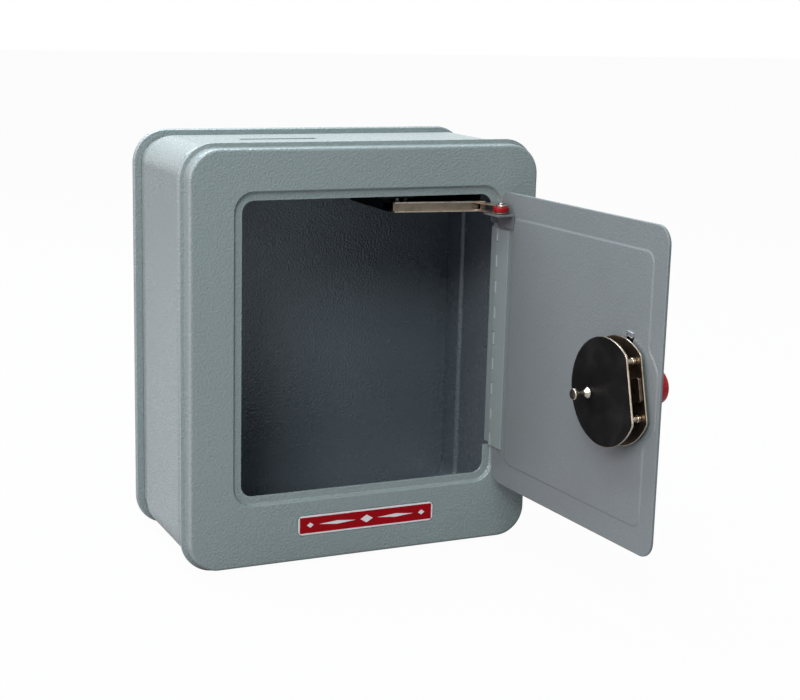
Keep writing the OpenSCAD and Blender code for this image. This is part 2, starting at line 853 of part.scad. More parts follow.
// The alarm arm: a channel that runs to the left, and two ears that hold the roller
module alarm_arm() {
    channel_x = neck_r;
    color("tan") on_arm() {
        arm_ear(ear_z0);
        arm_ear(ear_z1);
        rotate([0, 0, neck_angle]) translate([neck_l, 0, 0]) rotate([0, 0, -neck_angle - arm_angle]) {
            difference() {
                translate([-arm_l, -arm_w / 2, arm_z])
                    cube([arm_l + channel_x, arm_w, arm_h]);
                translate([-arm_l - over, -arm_w / 2 + arm_t, arm_z + arm_t])
                    cube([arm_l + channel_x + 2 * over, arm_w, arm_h - 2 * arm_t]);
                for (i = [1 : tooth_count])
                    translate([-arm_l + tooth_pitch * i, arm_w / 2, arm_z - over])
                        rotate([0, 0, 45])
                        translate([-tooth_deep / 2, -tooth_deep / 2, 0])
                        cube([tooth_deep, tooth_deep, arm_t + over + tiny]);
            }
            translate([-arm_l + guide_in, 0, arm_z + arm_h - arm_t])
                cylinder(r = guide_pin_r, h = guide_pin_top - arm_z - arm_h + arm_t, $fn = small_fn);
        }
    }
}

// The roller between the ears
module alarm_roller() {
    color("red") in_case() translate([pivot_xy[0], pivot_xy[1], roller_z0]) difference() {
        cylinder(r = roller_r, h = roller_t);
        translate([0, 0, -tiny])
            cylinder(r = rivet_bore, h = roller_t + 2 * tiny, $fn = small_fn);
    }
}

// Guide under the case's top, whose slot steers the pin at the arm's left end
module arm_guide() {
    room = guide_pin_r + guide_play;
    guide_x0 = guide_left - room - guide_edge;
    guide_x1 = guide_right + room + guide_edge;
    guide_y0 = guide_low_y - room - guide_edge;
    guide_y1 = groove_end + joggle_l + sheet_t + guide_t;
    color("dimgray") in_case() {
        difference() {
            translate([guide_x0, guide_y0, guide_z0])
                cube([guide_x1 - guide_x0, guide_y1 - guide_y0, guide_t]);
            translate([guide_left - room, guide_low_y - room, guide_z0 - over])
                cube([
                    guide_right - guide_left + 2 * room,
                    guide_high_y - guide_low_y + 2 * room,
                    guide_t + 2 * over
                ]);
        }
        translate([guide_x0, guide_y1 - guide_t, guide_z0])
            cube([guide_leg_w, guide_t, ceiling_z - guide_z0]);
        translate([guide_x0, guide_y1 - guide_t, ceiling_z - guide_t])
            cube([guide_leg_w, guide_foot_w, guide_t]);
    }
}

// Open-fronted box under the case's top, which holds the bell
module alarm_housing() {
    color("black") in_case() difference() {
        translate([housing_x, housing_y, housing_z])
            cube([housing_w, housing_d, housing_top - housing_z]);
        translate([housing_x + housing_t, housing_y - over, housing_z + housing_t])
            cube([housing_w - 2 * housing_t, housing_d - housing_t + over, roof_z - housing_z - housing_t]);
        translate([housing_x - over, housing_y - over, lever_z0 - lever_room])
            cube([housing_t + over + tiny, tail_room + over, lever_t + 2 * lever_room]);
        translate([bell_cx, bell_cy, roof_z - over])
            cylinder(r = bell_post_r, h = housing_t + 2 * over, $fn = small_fn);
        translate([strike_cx, strike_cy, roof_z - over])
            cylinder(r = strike_pin_r, h = housing_t + 2 * over, $fn = small_fn);
        translate([strike_cx, strike_cy, housing_z - over])
            cylinder(r = strike_pin_r, h = housing_t + 2 * over, $fn = small_fn);
    }
}

// The bell: a cup with its mouth down
module bell() {
    color("gold") in_case() translate([bell_cx, bell_cy, bell_z0])
        rotate_extrude()
        polygon(concat(
            [[bell_r - bell_t, 0], [bell_r, 0]],
            arc(bell_r - bell_dome, bell_h - bell_dome, bell_dome, 0, 90),
            [[bell_post_r, bell_h], [bell_post_r, bell_h - bell_t]],
            arc(bell_r - bell_dome, bell_h - bell_dome, bell_dome - bell_t, 90, 0)
        ));
}

// The post that hangs the bell from the housing's roof
module bell_post() {
    nut_z = bell_z1 - bell_t - post_head_t;
    color("silver") in_case() translate([bell_cx, bell_cy, 0]) {
        translate([0, 0, nut_z])
            cylinder(r = bell_post_r, h = roof_z + housing_t - nut_z, $fn = small_fn);
        translate([0, 0, nut_z])
            cylinder(r = post_head_r, h = post_head_t, $fn = small_fn);
        translate([0, 0, bell_z1])
            cylinder(r = post_head_r, h = roof_z - bell_z1, $fn = small_fn);
    }
}

// The striker: a lever with a head that hits the bell and a tail that the arm's teeth pluck
module striker() {
    color("silver") in_case() translate([strike_cx, strike_cy, lever_z0]) difference() {
        union() {
            cylinder(r = hub_r, h = hub_h);
            rotate([0, 0, strike_angle]) {
                translate([0, -tail_w / 2, 0]) cube([strike_l, tail_w, lever_t]);
                translate([strike_l, 0, 0]) cylinder(r = strike_r, h = strike_head_h);
            }
            rotate([0, 0, tail_angle]) {
                translate([0, -tail_w / 2, 0]) cube([tail_l - tail_w / 2, tail_w, lever_t]);
                translate([tail_l - tail_w / 2, 0, 0]) cylinder(r = tail_w / 2, h = lever_t);
            }
        }
        translate([0, 0, -over])
            cylinder(r = strike_pin_r + strike_pin_gap, h = hub_h + 2 * over, $fn = small_fn);
    }
}

// The pin that the striker turns on, held in the housing's floor and roof
module striker_pin() {
    color("gray") in_case() {
        translate([strike_cx, strike_cy, housing_z])
            cylinder(r = strike_pin_r, h = roof_z + housing_t - housing_z, $fn = small_fn);
        translate([strike_cx, strike_cy, housing_z + housing_t])
            cylinder(r = collar_r, h = lever_z0 - housing_z - housing_t - collar_gap, $fn = small_fn);
    }
}

// Lock's frame of axes: the origin at the lock's centre on the hinge axis' plane
module at_lock() {
    translate([lock_s, 0, lock_z]) children();
}

// Lock's frame turned so that X points to the plates' flat
module at_lock_tilted() {
    at_lock() rotate([0, -lock_tilt, 0]) children();
}

// Frame of axes of the index mark: the origin at the mark, Z away from the lock's centre
module at_index() {
    at_lock()
        rotate([0, index_turn, 0])
        translate([0, 0, index_rise])
        children();
}

// Positions of the three posts in the lock's turned frame
function post_places() = [[post_front, post_across], [post_front, -post_across], [-post_rear, 0]];

// Outline of a lock plate: a disc with a flat
module plate_outline() {
    difference() {
        circle(plate_r, $fn = 96);
        translate([plate_flat, -plate_r]) square([plate_r, 2 * plate_r]);
    }
}

// The back plate of the lock
module lock_back_plate() {
    color("dimgray") on_door() at_lock_tilted() difference() {
        slab_y(back_plate_y0, back_plate_y1) plate_outline();
        rod_y(spindle_bore, back_plate_y0 - over, back_plate_y1 + over);
    }
}

// The front plate of the lock, with the hole for the setting knob
module lock_front_plate() {
    color("dimgray") on_door() at_lock_tilted() difference() {
        slab_y(front_plate_y0, front_plate_y1) plate_outline();
        translate([-set_back, 0, 0])
            rod_y(set_waist_r + spindle_gap, front_plate_y0 - over, front_plate_y1 + over);
    }
}

// Short feet that hold the back plate off the door
module lock_feet() {
    color("tan") on_door() at_lock_tilted()
        for (p = post_places())
            translate([p[0], 0, p[1]])
                rod_y(foot_r, field_inner, back_plate_y0);
}

// One post between the lock plates
module lock_post(p) {
    color("tan") on_door() at_lock_tilted()
        translate([p[0], 0, p[1]])
        rod_y(post_r, back_plate_y1, front_plate_y0);
}

module lock_post_upper() {
    lock_post(post_places()[0]);
}

module lock_post_lower() {
    lock_post(post_places()[1]);
}

module lock_post_rear() {
    lock_post(post_places()[2]);
}

// The spindle that joins the dial to the drive wheel
module lock_spindle() {
    color("gold") on_door() at_lock() rod_y(spindle_r, dial_y1, spindle_end);
}

// A lock wheel with a gate in its rim and a bore of the given radius
module lock_wheel(place, bore) {
    y0 = wheel_y0 + wheel_pitch * place;
    color("goldenrod") on_door() at_lock() difference() {
        rod_y(wheel_r, y0, y0 + wheel_t);
        rod_y(bore, y0 - over, y0 + wheel_t + over);
        rotate([0, 90 * place, 0])
            translate([wheel_r - gate_deep, y0 - over, -gate_w / 2])
            cube([2 * gate_deep, wheel_t + 2 * over, gate_w]);
    }
}

// The wheel that the spindle turns
module drive_wheel() {
    lock_wheel(loose_wheels, spindle_r);
}

module lock_wheel_1() {
    lock_wheel(0, spindle_bore);
}

module lock_wheel_2() {
    lock_wheel(1, spindle_bore);
}

// The bolt, drawn back, with the slot that clears the spindle
module lock_bolt() {
    bolt_half = bolt_w / 2;
    color("silver") on_door() at_lock_tilted() difference() {
        slab_y(bolt_y0, bolt_y1)
            round_rect(-bolt_tail, -bolt_half, bolt_tip, bolt_half, bolt_corner);
        slab_y(bolt_y0 - over, bolt_y1 + over) {
            translate([-bolt_travel, -bolt_slot_r]) square([bolt_travel, 2 * bolt_slot_r]);
            for (n = [-bolt_travel, 0])
                translate([n, 0]) circle(bolt_slot_r);
        }
    }
}

// The spool-shaped knob that is pulled to set a new combination
module setting_knob() {
    base_y = front_plate_y1 + set_lift;
    tip_y = front_plate_y1 + set_l;
    collar_y1 = front_plate_y0 - set_travel - collar_stop;
    color("gold") on_door() at_lock_tilted() translate([-set_back, 0, 0])
        rotate([-90, 0, 0])
        rotate_extrude($fn = small_fn)
        polygon([
            [0, collar_y1 - collar_t],
            [set_collar_r, collar_y1 - collar_t],
            [set_collar_r, collar_y1],
            [set_waist_r, collar_y1],
            [set_waist_r, base_y],
            [set_r, base_y],
            [set_r, base_y + set_disc_t / 2],
            [set_waist_r, base_y + set_disc_t / 2 + cone_l],
            [set_waist_r, tip_y - set_disc_t - cone_l],
            [set_r, tip_y - set_disc_t],
            [set_r, tip_y],
            [0, tip_y]
        ]);
}

// The number disc behind the grip
module dial_disc() {
    bevel = dial_t / 2;
    color("black") on_door() at_lock()
        rotate([-90, 0, 0])
        rotate_extrude()
        polygon([
            [0, dial_y0], [dial_r - bevel, dial_y0], [dial_r, dial_y0 + bevel],
            [dial_r, dial_y1], [0, dial_y1]
        ]);
}

// The fluted grip of the dial
module dial_knob() {
    color("black") on_door() at_lock() difference() {
        rotate([-90, 0, 0]) rotate_extrude() polygon([
            [0, grip_y0], [grip_r - grip_crown, grip_y0], [grip_r, grip_y0 + grip_crown],
            [grip_r, dial_y0], [0, dial_y0]
        ]);
        for (i = [0 : flute_count - 1])
            rotate([0, i * 360 / flute_count, 0])
                translate([grip_r + flute_r / 2, 0, 0])
                rod_y(flute_r, grip_y0 - over, dial_y0 - flute_stop, $fn = 16);
    }
}

// The index mark on the door's face, with a tab bent over inside the door
module dial_index() {
    color("white") on_door() at_index() {
        translate([-index_w / 2, field_outer - index_t, -index_t / 2])
            cube([index_w, index_t, index_l]);
        translate([-index_w / 2, field_outer - tiny, -index_t / 2])
            cube([index_w, field_inner - field_outer + index_t + tiny, index_t]);
        translate([-index_w / 2, field_inner, -index_t / 2])
            cube([index_w, index_t, tab_l]);
    }
}

body_band();
front_frame();
rear_cover();
label_plate();
hinge_leaf_frame();
hinge_leaf_door();
hinge_pin();
door_panel();
door_lug();
lug_rivet();
alarm_arm();
alarm_roller();
arm_guide();
alarm_housing();
bell();
bell_post();
striker();
striker_pin();
lock_back_plate();
lock_front_plate();
lock_feet();
lock_post_upper();
lock_post_lower();
lock_post_rear();
lock_spindle();
drive_wheel();
lock_wheel_1();
lock_wheel_2();
lock_bolt();
setting_knob();
dial_disc();
dial_knob();
dial_index();
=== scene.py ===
"""Looks of the donation box: a small sheet steel safe with a combination lock.

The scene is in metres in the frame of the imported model: X to the right, Y to the
rear and Z up, with the origin on the middle of the front foot.  Sizes of the pieces
are in millimetres and are turned into metres when a mesh is made.
"""

from __future__ import annotations

import json
import logging
import math
from collections.abc import Callable
from dataclasses import dataclass
from enum import Enum

import bmesh
import bpy
import numpy as np
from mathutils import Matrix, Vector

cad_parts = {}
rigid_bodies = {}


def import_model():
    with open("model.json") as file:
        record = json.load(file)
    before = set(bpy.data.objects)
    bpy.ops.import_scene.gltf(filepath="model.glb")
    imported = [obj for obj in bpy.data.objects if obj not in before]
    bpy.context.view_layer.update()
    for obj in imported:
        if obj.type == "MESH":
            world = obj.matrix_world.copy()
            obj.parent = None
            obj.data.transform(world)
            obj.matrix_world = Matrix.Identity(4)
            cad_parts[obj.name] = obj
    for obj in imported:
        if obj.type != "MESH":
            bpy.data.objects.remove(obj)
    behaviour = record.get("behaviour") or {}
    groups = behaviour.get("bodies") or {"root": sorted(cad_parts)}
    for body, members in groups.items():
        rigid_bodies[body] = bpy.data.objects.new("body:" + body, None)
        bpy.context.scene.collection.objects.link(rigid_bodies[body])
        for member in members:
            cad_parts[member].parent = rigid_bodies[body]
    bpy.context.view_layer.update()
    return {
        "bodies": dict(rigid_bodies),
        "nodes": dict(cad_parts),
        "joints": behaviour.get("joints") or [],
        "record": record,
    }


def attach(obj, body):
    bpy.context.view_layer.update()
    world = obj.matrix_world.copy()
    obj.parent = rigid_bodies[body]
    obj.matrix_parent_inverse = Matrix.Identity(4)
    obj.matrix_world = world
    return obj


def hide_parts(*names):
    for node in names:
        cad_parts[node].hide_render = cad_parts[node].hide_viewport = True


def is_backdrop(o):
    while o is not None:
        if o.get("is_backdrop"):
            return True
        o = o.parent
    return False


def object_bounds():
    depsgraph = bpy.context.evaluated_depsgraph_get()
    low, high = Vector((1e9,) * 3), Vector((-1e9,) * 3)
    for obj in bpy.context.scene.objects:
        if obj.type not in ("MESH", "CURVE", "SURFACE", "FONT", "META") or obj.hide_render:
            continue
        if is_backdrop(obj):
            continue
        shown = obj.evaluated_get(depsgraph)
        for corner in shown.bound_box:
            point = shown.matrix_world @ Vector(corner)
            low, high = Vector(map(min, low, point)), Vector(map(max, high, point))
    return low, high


LOG = logging.getLogger("donation_box")
# One millimetre in metres
MM = 0.001
# Depth of the front foot's middle behind the case's face, in millimetres
FOOT = 7.0
# Distance in metres within which two points of a mesh are one
DOUBLES = 2e-6
# Degrees up to which two faces lie in one plane, and from which their edge is sharp
FLAT = 0.5
SHARP = 35
# Largest share of a section's side that a rounding takes up
SHARE = 0.48
# Points on each rounding of a section
STEPS = 5
# Corner from which the sections of the caps and the band are inside the case and take the darker
# inside finish, which is painted shade
INSIDE_FROM = 6
# How far a cutter reaches past a sheet, and how far its own edges are eased, in millimetres
PAST = 3.0
CRISP = 0.01
# Radius of the end ring that closes a turned section near its axis, in millimetres
AXIS_R = 0.02

Colour = tuple[float, float, float]
Point = tuple[float, float, float]
Pair = tuple[float, float]
# Left, right, bottom and top
Box = tuple[float, float, float, float]
Look = bpy.types.Material


# Shader maths


def maths(operation: str, reflected: bool = False) -> Callable[..., Sock]:
    """Makes an operator of Sock that adds one Math node.

    Args:
        operation: The Math node's operation.
        reflected: Whether the socket comes after the other value.

    Returns:
        The operator's method.
    """

    def method(self: Sock, other: object = 0.0) -> Sock:
        """The operation on the socket and another value, in their order."""
        first, second = (other, self) if reflected else (self, other)
        return self.graph.node("ShaderNodeMath", {"operation": operation}, {0: first, 1: second})

    return method


class Sock:
    """A shader socket with Python's arithmetic; each operation adds a Math node."""

    __add__, __radd__ = maths("ADD"), maths("ADD", True)
    __sub__, __rsub__ = maths("SUBTRACT"), maths("SUBTRACT", True)
    __mul__, __rmul__ = maths("MULTIPLY"), maths("MULTIPLY", True)
    __truediv__, __pow__ = maths("DIVIDE"), maths("POWER")
    __gt__, __lt__ = maths("GREATER_THAN"), maths("LESS_THAN")
    __abs__ = maths("ABSOLUTE")

    def __init__(self, graph: Graph, socket: bpy.types.NodeSocket) -> None:
        """Wraps an output socket of a graph."""
        self.graph = graph
        self.socket = socket

    def clamp(self, low: float, high: float) -> Sock:
        """The value moved from low..high to 0..1, smoothly and clamped."""
        return self.graph.node(
            "ShaderNodeMapRange",
            {"interpolation_type": "SMOOTHSTEP", "clamp": True},
            {0: self, 1: low, 2: high, 3: 0.0, 4: 1.0},
        )


class Graph:
    """The node graph of one material, or of the world."""

    def __init__(self, name: str, kind: str = "Material") -> None:
        """Makes an empty material or world.

        Args:
            name: Its name.
            kind: Material or World.
        """
        makers = {"Material": bpy.data.materials, "World": bpy.data.worlds}
        self.owner = makers[kind].new(name)
        self.owner.use_nodes = True
        self.tree = self.owner.node_tree
        self.tree.nodes.clear()
        self.out = self.tree.nodes.new("ShaderNodeOutput" + kind)

    def node(
        self,
        kind: str,
        settings: dict[str, object] | None = None,
        inputs: dict[int | str, object] | None = None,
        output: int | str = 0,
    ) -> Sock:
        """Adds a node of any kind.

        Args:
            kind: The node's type.
            settings: The node's properties, which are set first.
            inputs: Values or sockets by input name or number.
            output: Name or number of the output that is wanted.

        Returns:
            The wanted output.
        """
        new = self.tree.nodes.new(kind)
        for key, value in (settings or {}).items():
            setattr(new, key, value)
        for key, value in (inputs or {}).items():
            target = new.inputs[key]
            if isinstance(value, Sock):
                self.tree.links.new(value.socket, target)
            elif isinstance(value, tuple) and len(value) == 3 and target.type == "RGBA":
                target.default_value = (*value, 1.0)
            else:
                target.default_value = value
        return Sock(self, new.outputs[output])

    def place(self) -> Sock:
        """Object coordinates."""
        return self.node("ShaderNodeTexCoord", output="Object")

    def axis(self, vector: Sock, name: str) -> Sock:
        """One coordinate of a vector."""
        return self.node("ShaderNodeSeparateXYZ", None, {0: vector}, name)

    def noise(
        self, scale: float, detail: float = 2.0, rough: float = 0.5, warp: float = 0.0
    ) -> Sock:
        """Noise on the object's own coordinates.

        Args:
            scale: Features per metre.
            detail: Number of finer layers.
            rough: Strength of each finer layer.
            warp: Distortion.

        Returns:
            The noise's value.
        """
        return self.node(
            "ShaderNodeTexNoise",
            {"noise_dimensions": "3D"},
            {
                "Vector": self.place(),
                "Scale": scale,
                "Detail": detail,
                "Roughness": rough,
                "Distortion": warp,
            },
            "Fac",
        )

    def mix(self, amount: object, first: object, second: object) -> Sock:
        """Mixes two colours."""
        return self.node(
            "ShaderNodeMix",
            {"data_type": "RGBA"},
            {0: amount, 6: first, 7: second},
            2,
        )

    def bump(self, height: Sock, depth: float) -> Sock:
        """The normal of a bump whose height runs from 0 to 1 over a depth in metres."""
        inputs = {"Height": height, "Strength": 1.0, "Distance": depth}
        return self.node("ShaderNodeBump", None, inputs, "Normal")

    def end(self, shader: Sock) -> Look | bpy.types.World:
        """Ends the graph in a shader, and gives back the material or world."""
        self.tree.links.new(shader.socket, self.out.inputs["Surface"])
        return self.owner

    def principled(self, **inputs: object) -> Look:
        """Ends the graph in a Principled shader.

        Args:
            inputs: Values or sockets by input name, with underscores for spaces.

        Returns:
            The material.
        """
        named = {key.replace("_", " "): value for key, value in inputs.items()}
        return self.end(self.node("ShaderNodeBsdfPrincipled", None, named, "BSDF"))


# Surfaces


@dataclass(frozen=True)
class Axes:
    """Axes of a sub-assembly, in millimetres, with depth counted from the case's face."""

    origin: np.ndarray
    right: np.ndarray
    depth: np.ndarray
    up: np.ndarray

    @staticmethod
    def case() -> Axes:
        """The case's own axes: right, to the rear and up."""
        return Axes(np.zeros(3), *np.eye(3))

    def moved(self, right: float = 0.0, depth: float = 0.0, up: float = 0.0) -> Axes:
        """The same axes with their origin moved along them."""
        shift = right * self.right + depth * self.depth + up * self.up
        return Axes(self.origin + shift, self.right, self.depth, self.up)

    def tilted(self, degrees: float) -> Axes:
        """The axes turned about their depth, so that right turns towards up."""
        c, s = math.cos(math.radians(degrees)), math.sin(math.radians(degrees))
        right, up = c * self.right + s * self.up, c * self.up - s * self.right
        return Axes(self.origin, right, self.depth, up)

    def put(self, points: np.ndarray) -> np.ndarray:
        """Turns points on these axes into metres of the model.

        Args:
            points: Right, depth and up of each point, in the last dimension.

        Returns:
            The points in the model, where depth starts at the foot.
        """
        world = self.origin + points @ np.stack([self.right, self.depth, self.up])
        return (world - np.array([0.0, FOOT, 0.0])) * MM


def rounded(rows: np.ndarray, cut: np.ndarray, steps: int = STEPS) -> np.ndarray:
    """Rounds the corners of a closed chain, whose corners are points or whole rings.

    Each corner is replaced by a quadratic curve that starts and ends a given distance
    away from it: (1-t)^2 times the start, 2t(1-t) times the corner, t^2 times the end.
    On a chain of rings, each point runs on such a curve of its own.

    Args:
        rows: The corners, one row each.
        cut: How far from each corner the rounding starts.
        steps: Rows on each rounding.

    Returns:
        The rounded chain, row by row.
    """
    ones = [1] * (rows.ndim - 1)
    cut = cut.reshape(-1, *ones)
    before, after = np.roll(rows, 1, axis=0) - rows, np.roll(rows, -1, axis=0) - rows
    reach0 = np.linalg.norm(before, axis=-1, keepdims=True)
    reach1 = np.linalg.norm(after, axis=-1, keepdims=True)
    start = rows + before / reach0 * np.minimum(cut, SHARE * reach0)
    end = rows + after / reach1 * np.minimum(cut, SHARE * reach1)
    t = np.linspace(0.0, 1.0, steps).reshape(1, -1, *ones)
    curve = (1 - t) ** 2 * start[:, None] + 2 * t * (1 - t) * rows[:, None] + t**2 * end[:, None]
    return curve.reshape(-1, *rows.shape[1:])


def eased(corners: list[Point], steps: int = STEPS) -> np.ndarray:
    """Rounds a closed section, given by across, depth and rounding of each corner."""
    data = np.array(corners, dtype=float)
    return rounded(data[:, :2], data[:, 2], steps)


@dataclass(frozen=True)
class Round:
    """A rectangle whose corners are round, given by the centres of its corners."""

    x0: float
    x1: float
    z0: float
    z1: float
    corner: int = 14
    side: int = 6

    @staticmethod
    def outside(x0: float, x1: float, z0: float, z1: float, r: float) -> Round:
        """The rectangle with the given outer edges and corner radius."""
        return Round(x0 + r, x1 - r, z0 + r, z1 - r)

    def ring(self, out: np.ndarray, depth: np.ndarray) -> np.ndarray:
        """Rings round the rectangle, one for each pair of values.

        A point is its corner's centre plus the distance outwards along the normal; on a
        straight side the centre slides from one corner to the next.

        Args:
            out: Distance outwards from the corner centres.
            depth: Depth of each ring.

        Returns:
            Points, ring by ring.
        """
        turn = np.linspace(0.0, math.pi / 2, self.corner)
        slide = np.linspace(0.0, 1.0, self.side + 2)[1:-1]
        quarter = np.arange(4)[:, None]
        straight = np.repeat((quarter + 1) * math.pi / 2, self.side, 1)
        angle = np.hstack([quarter * math.pi / 2 + turn, straight]).reshape(-1)
        here = np.array([[1, 1], [0, 1], [0, 0], [1, 0]], dtype=float)
        there = np.roll(here, -1, axis=0)
        still = np.repeat(here[:, None], self.corner, 1)
        moving = here[:, None] + (there - here)[:, None] * slide[None, :, None]
        weight = np.concatenate([still, moving], axis=1).reshape(-1, 2)
        x = self.x0 + weight[:, 0] * (self.x1 - self.x0) + out[:, None] * np.cos(angle)
        z = self.z0 + weight[:, 1] * (self.z1 - self.z0) + out[:, None] * np.sin(angle)
        return np.stack([x, np.broadcast_to(depth[:, None], x.shape), z], axis=-1)


def smooth_min(a: np.ndarray, b: np.ndarray, blend: float) -> np.ndarray:
    """The lesser of two values, blended where they are close.

    With h = 1/2 + (a - b) / (2 blend), clipped to 0..1, it is
    a (1 - h) + b h - blend h (1 - h).

    Args:
        a: First values.
        b: Second values.
        blend: Difference up to which they are blended.

    Returns:
        The blended values.
    """
    h = np.clip(0.5 + 0.5 * (a - b) / blend, 0, 1)
    return a * (1 - h) + b * h - blend * h * (1 - h)


def turned(section: np.ndarray, count: int = 64) -> np.ndarray:
    """Turns a section about the depth axis: radius times cosine and sine of the angle.

    Args:
        section: Radius and depth of each point.
        count: Points round the axis.

    Returns:
        Points, ring by ring.
    """
    angle = np.arange(count) * 2 * math.pi / count
    radius, depth = section[:, :1], section[:, 1:]
    x, z = radius * np.cos(angle), radius * np.sin(angle)
    return np.stack([x, np.broadcast_to(depth, x.shape), z], axis=-1)


def triple(a: np.ndarray, b: np.ndarray, c: np.ndarray) -> float:
    """Sum of the triple products of rows of vectors."""
    return np.einsum("ij,ij->", np.cross(a, b), c)


class Shell:
    """Closed surfaces of one piece, gathered as arrays."""

    def __init__(self, axes: Axes | None = None) -> None:
        """Starts an empty piece on the given axes, or on the case's own."""
        self.axes = Axes.case() if axes is None else axes
        self.points: list[np.ndarray] = []
        self.faces: list[list[int]] = []
        self.marks: list[int] = []
        self.count = 0

    def skin(
        self, rings: np.ndarray, loop: bool = False, marks: np.ndarray | None = None
    ) -> Shell:
        """Adds a closed surface: quads between rings, joined end to start or capped.

        Six times its volume is the sum of the triple products of its triangles, seen from
        the middle of its points; where that is negative, all faces are turned round.

        Args:
            rings: Points as rings by points round each ring by three.
            loop: Whether the last ring joins the first; otherwise both ends are capped.
            marks: Material number of each row of quads.

        Returns:
            The shell itself.
        """
        points = self.axes.put(rings)
        rows, cols = points.shape[:2]
        row = np.arange(rows if loop else rows - 1)[:, None]
        col = np.arange(cols)[None, :]
        nxt, side = (row + 1) % rows, (col + 1) % cols
        quads = np.stack(
            [row * cols + col, row * cols + side, nxt * cols + side, nxt * cols + col], axis=-1
        ).reshape(-1, 4)
        flat = points.reshape(-1, 3)
        middle = flat.mean(axis=0)
        a, b, c, d = (flat[quads[:, i]] - middle for i in range(4))
        volume = triple(a, b, c) + triple(a, c, d)
        ends = [] if loop else [np.arange(cols)[::-1], (rows - 1) * cols + np.arange(cols)]
        for end in ends:
            fan = flat[end] - middle
            volume += triple(fan[1:-1], fan[2:], np.broadcast_to(fan[0], fan[2:].shape))
        sign = -1 if volume < 0 else 1
        self.faces += (quads[:, ::sign] + self.count).tolist()
        self.faces += [(end[::sign] + self.count).tolist() for end in ends]
        each = np.zeros(len(row), dtype=int) if marks is None else marks
        self.marks += np.repeat(each, cols).tolist()
        self.marks += [int(each[i]) for i in (0, -1)][: len(ends)]
        self.points.append(flat)
        self.count += len(flat)
        return self

    def block(self, low: Point, high: Point, ease: float = CRISP) -> Shell:
        """Adds a block with eased edges, as a rounded section in depth and rings round it.

        Args:
            low: Lowest right, depth and up.
            high: Highest right, depth and up.
            ease: How far the edges are rounded.

        Returns:
            The shell itself.
        """
        near, far, part = low[1], high[1], ease * 0.3
        section = np.array([
            [-ease, near], [-part, near + part], [0, near + ease],
            [0, far - ease], [-part, far - part], [-ease, far],
        ])
        r = 1.6 * ease
        shape = Round(low[0] + r, high[0] - r, low[2] + r, high[2] - r, 5, 1)
        return self.skin(shape.ring(section[:, 0] + r, section[:, 1]))

    def mesh(self, name: str) -> bpy.types.Mesh:
        """Makes the mesh, with its doubles merged.

        Args:
            name: The mesh's name.

        Returns:
            The mesh, in metres of the model.
        """
        mesh = bpy.data.meshes.new(name)
        mesh.from_pydata(np.concatenate(self.points).tolist(), [], self.faces)
        mesh.polygons.foreach_set("material_index", self.marks)
        merge(mesh)
        return mesh


def merge(mesh: bpy.types.Mesh, flatten: bool = False) -> None:
    """Merges the doubles of a mesh, and if wanted joins faces that lie in one plane."""
    work = bmesh.new()
    work.from_mesh(mesh)
    bmesh.ops.remove_doubles(work, verts=work.verts, dist=DOUBLES)
    if flatten:
        bmesh.ops.dissolve_limit(
            work, angle_limit=math.radians(FLAT), verts=work.verts, edges=work.edges
        )
    work.to_mesh(mesh)
    work.free()
    mesh.update()


def carved(mesh: bpy.types.Mesh, tools: list[bpy.types.Mesh]) -> bpy.types.Mesh:
    """Cuts closed shapes out of a mesh.

    Args:
        mesh: The mesh that is cut.
        tools: The shapes that are taken away.

    Returns:
        The cut mesh.
    """
    scene = bpy.context.scene.collection
    work = bpy.data.objects.new("work", mesh)
    scene.objects.link(work)
    cutters = []
    for tool in tools:
        cutter = bpy.data.objects.new("cutter", tool)
        scene.objects.link(cutter)
        cut = work.modifiers.new("cut", "BOOLEAN")
        cut.object = cutter
        cut.operation = "DIFFERENCE"
        cut.solver = "EXACT"
        cutters.append(cutter)
    graph = bpy.context.evaluated_depsgraph_get()
    result = bpy.data.meshes.new_from_object(work.evaluated_get(graph))
    for item in [work, *cutters]:
        bpy.data.objects.remove(item)
    merge(result)
    return result


def joined(meshes: list[bpy.types.Mesh]) -> bpy.types.Mesh:
    """One mesh of several.

    Args:
        meshes: The meshes.

    Returns:
        A new mesh with all their faces.
    """
    work = bmesh.new()
    for mesh in meshes:
        work.from_mesh(mesh)
    result = bpy.data.meshes.new(meshes[0].name)
    work.to_mesh(result)
    work.free()
    return result


# Finishes


@dataclass(frozen=True)
class Enamel:
    """Stoved grey enamel with a coarse orange-peel surface over sheet steel."""

    name: str
    colour: Colour
    roughness: float = 0.27
    peel: float = 1150.0
    peel_depth: float = 0.00032
    mottle: float = 0.025
    # Share by which the colour darkens in the peel's pits: painted shade
    pit: float = 0.18
    sheen: Colour = (0.86, 0.94, 1.0)
    gloss: float = 0.7
    cloud: float = 45.0

    def material(self) -> Look:
        """The enamel as a material."""
        graph = Graph(self.name)
        coarse = graph.noise(self.peel, 1.2, 0.4, 0.15)
        fine = graph.noise(self.peel * 2.4, 1.0, 0.5)
        cloud = graph.noise(self.cloud, 3.0, 0.6)
        # Colour is darker where the peel is low: painted shade in its pits
        pit_shade = coarse.clamp(0.62, 0.36)
        height = coarse * 0.85 + fine * 0.15
        dark = tuple(c * (1 - self.mottle) for c in self.colour)
        light = tuple(c * (1 + self.mottle * k) for c, k in zip(self.colour, (0.8, 1.0, 1.5)))
        shade = graph.mix(cloud, dark, light)
        shade = graph.mix(pit_shade * self.pit, shade, tuple(c * 0.6 for c in self.colour))
        return graph.principled(
            Base_Color=shade,
            Roughness=self.roughness + (cloud - 0.5) * 0.05,
            Normal=graph.bump(height, self.peel_depth),
            Specular_IOR_Level=self.gloss,
            Specular_Tint=self.sheen,
        )


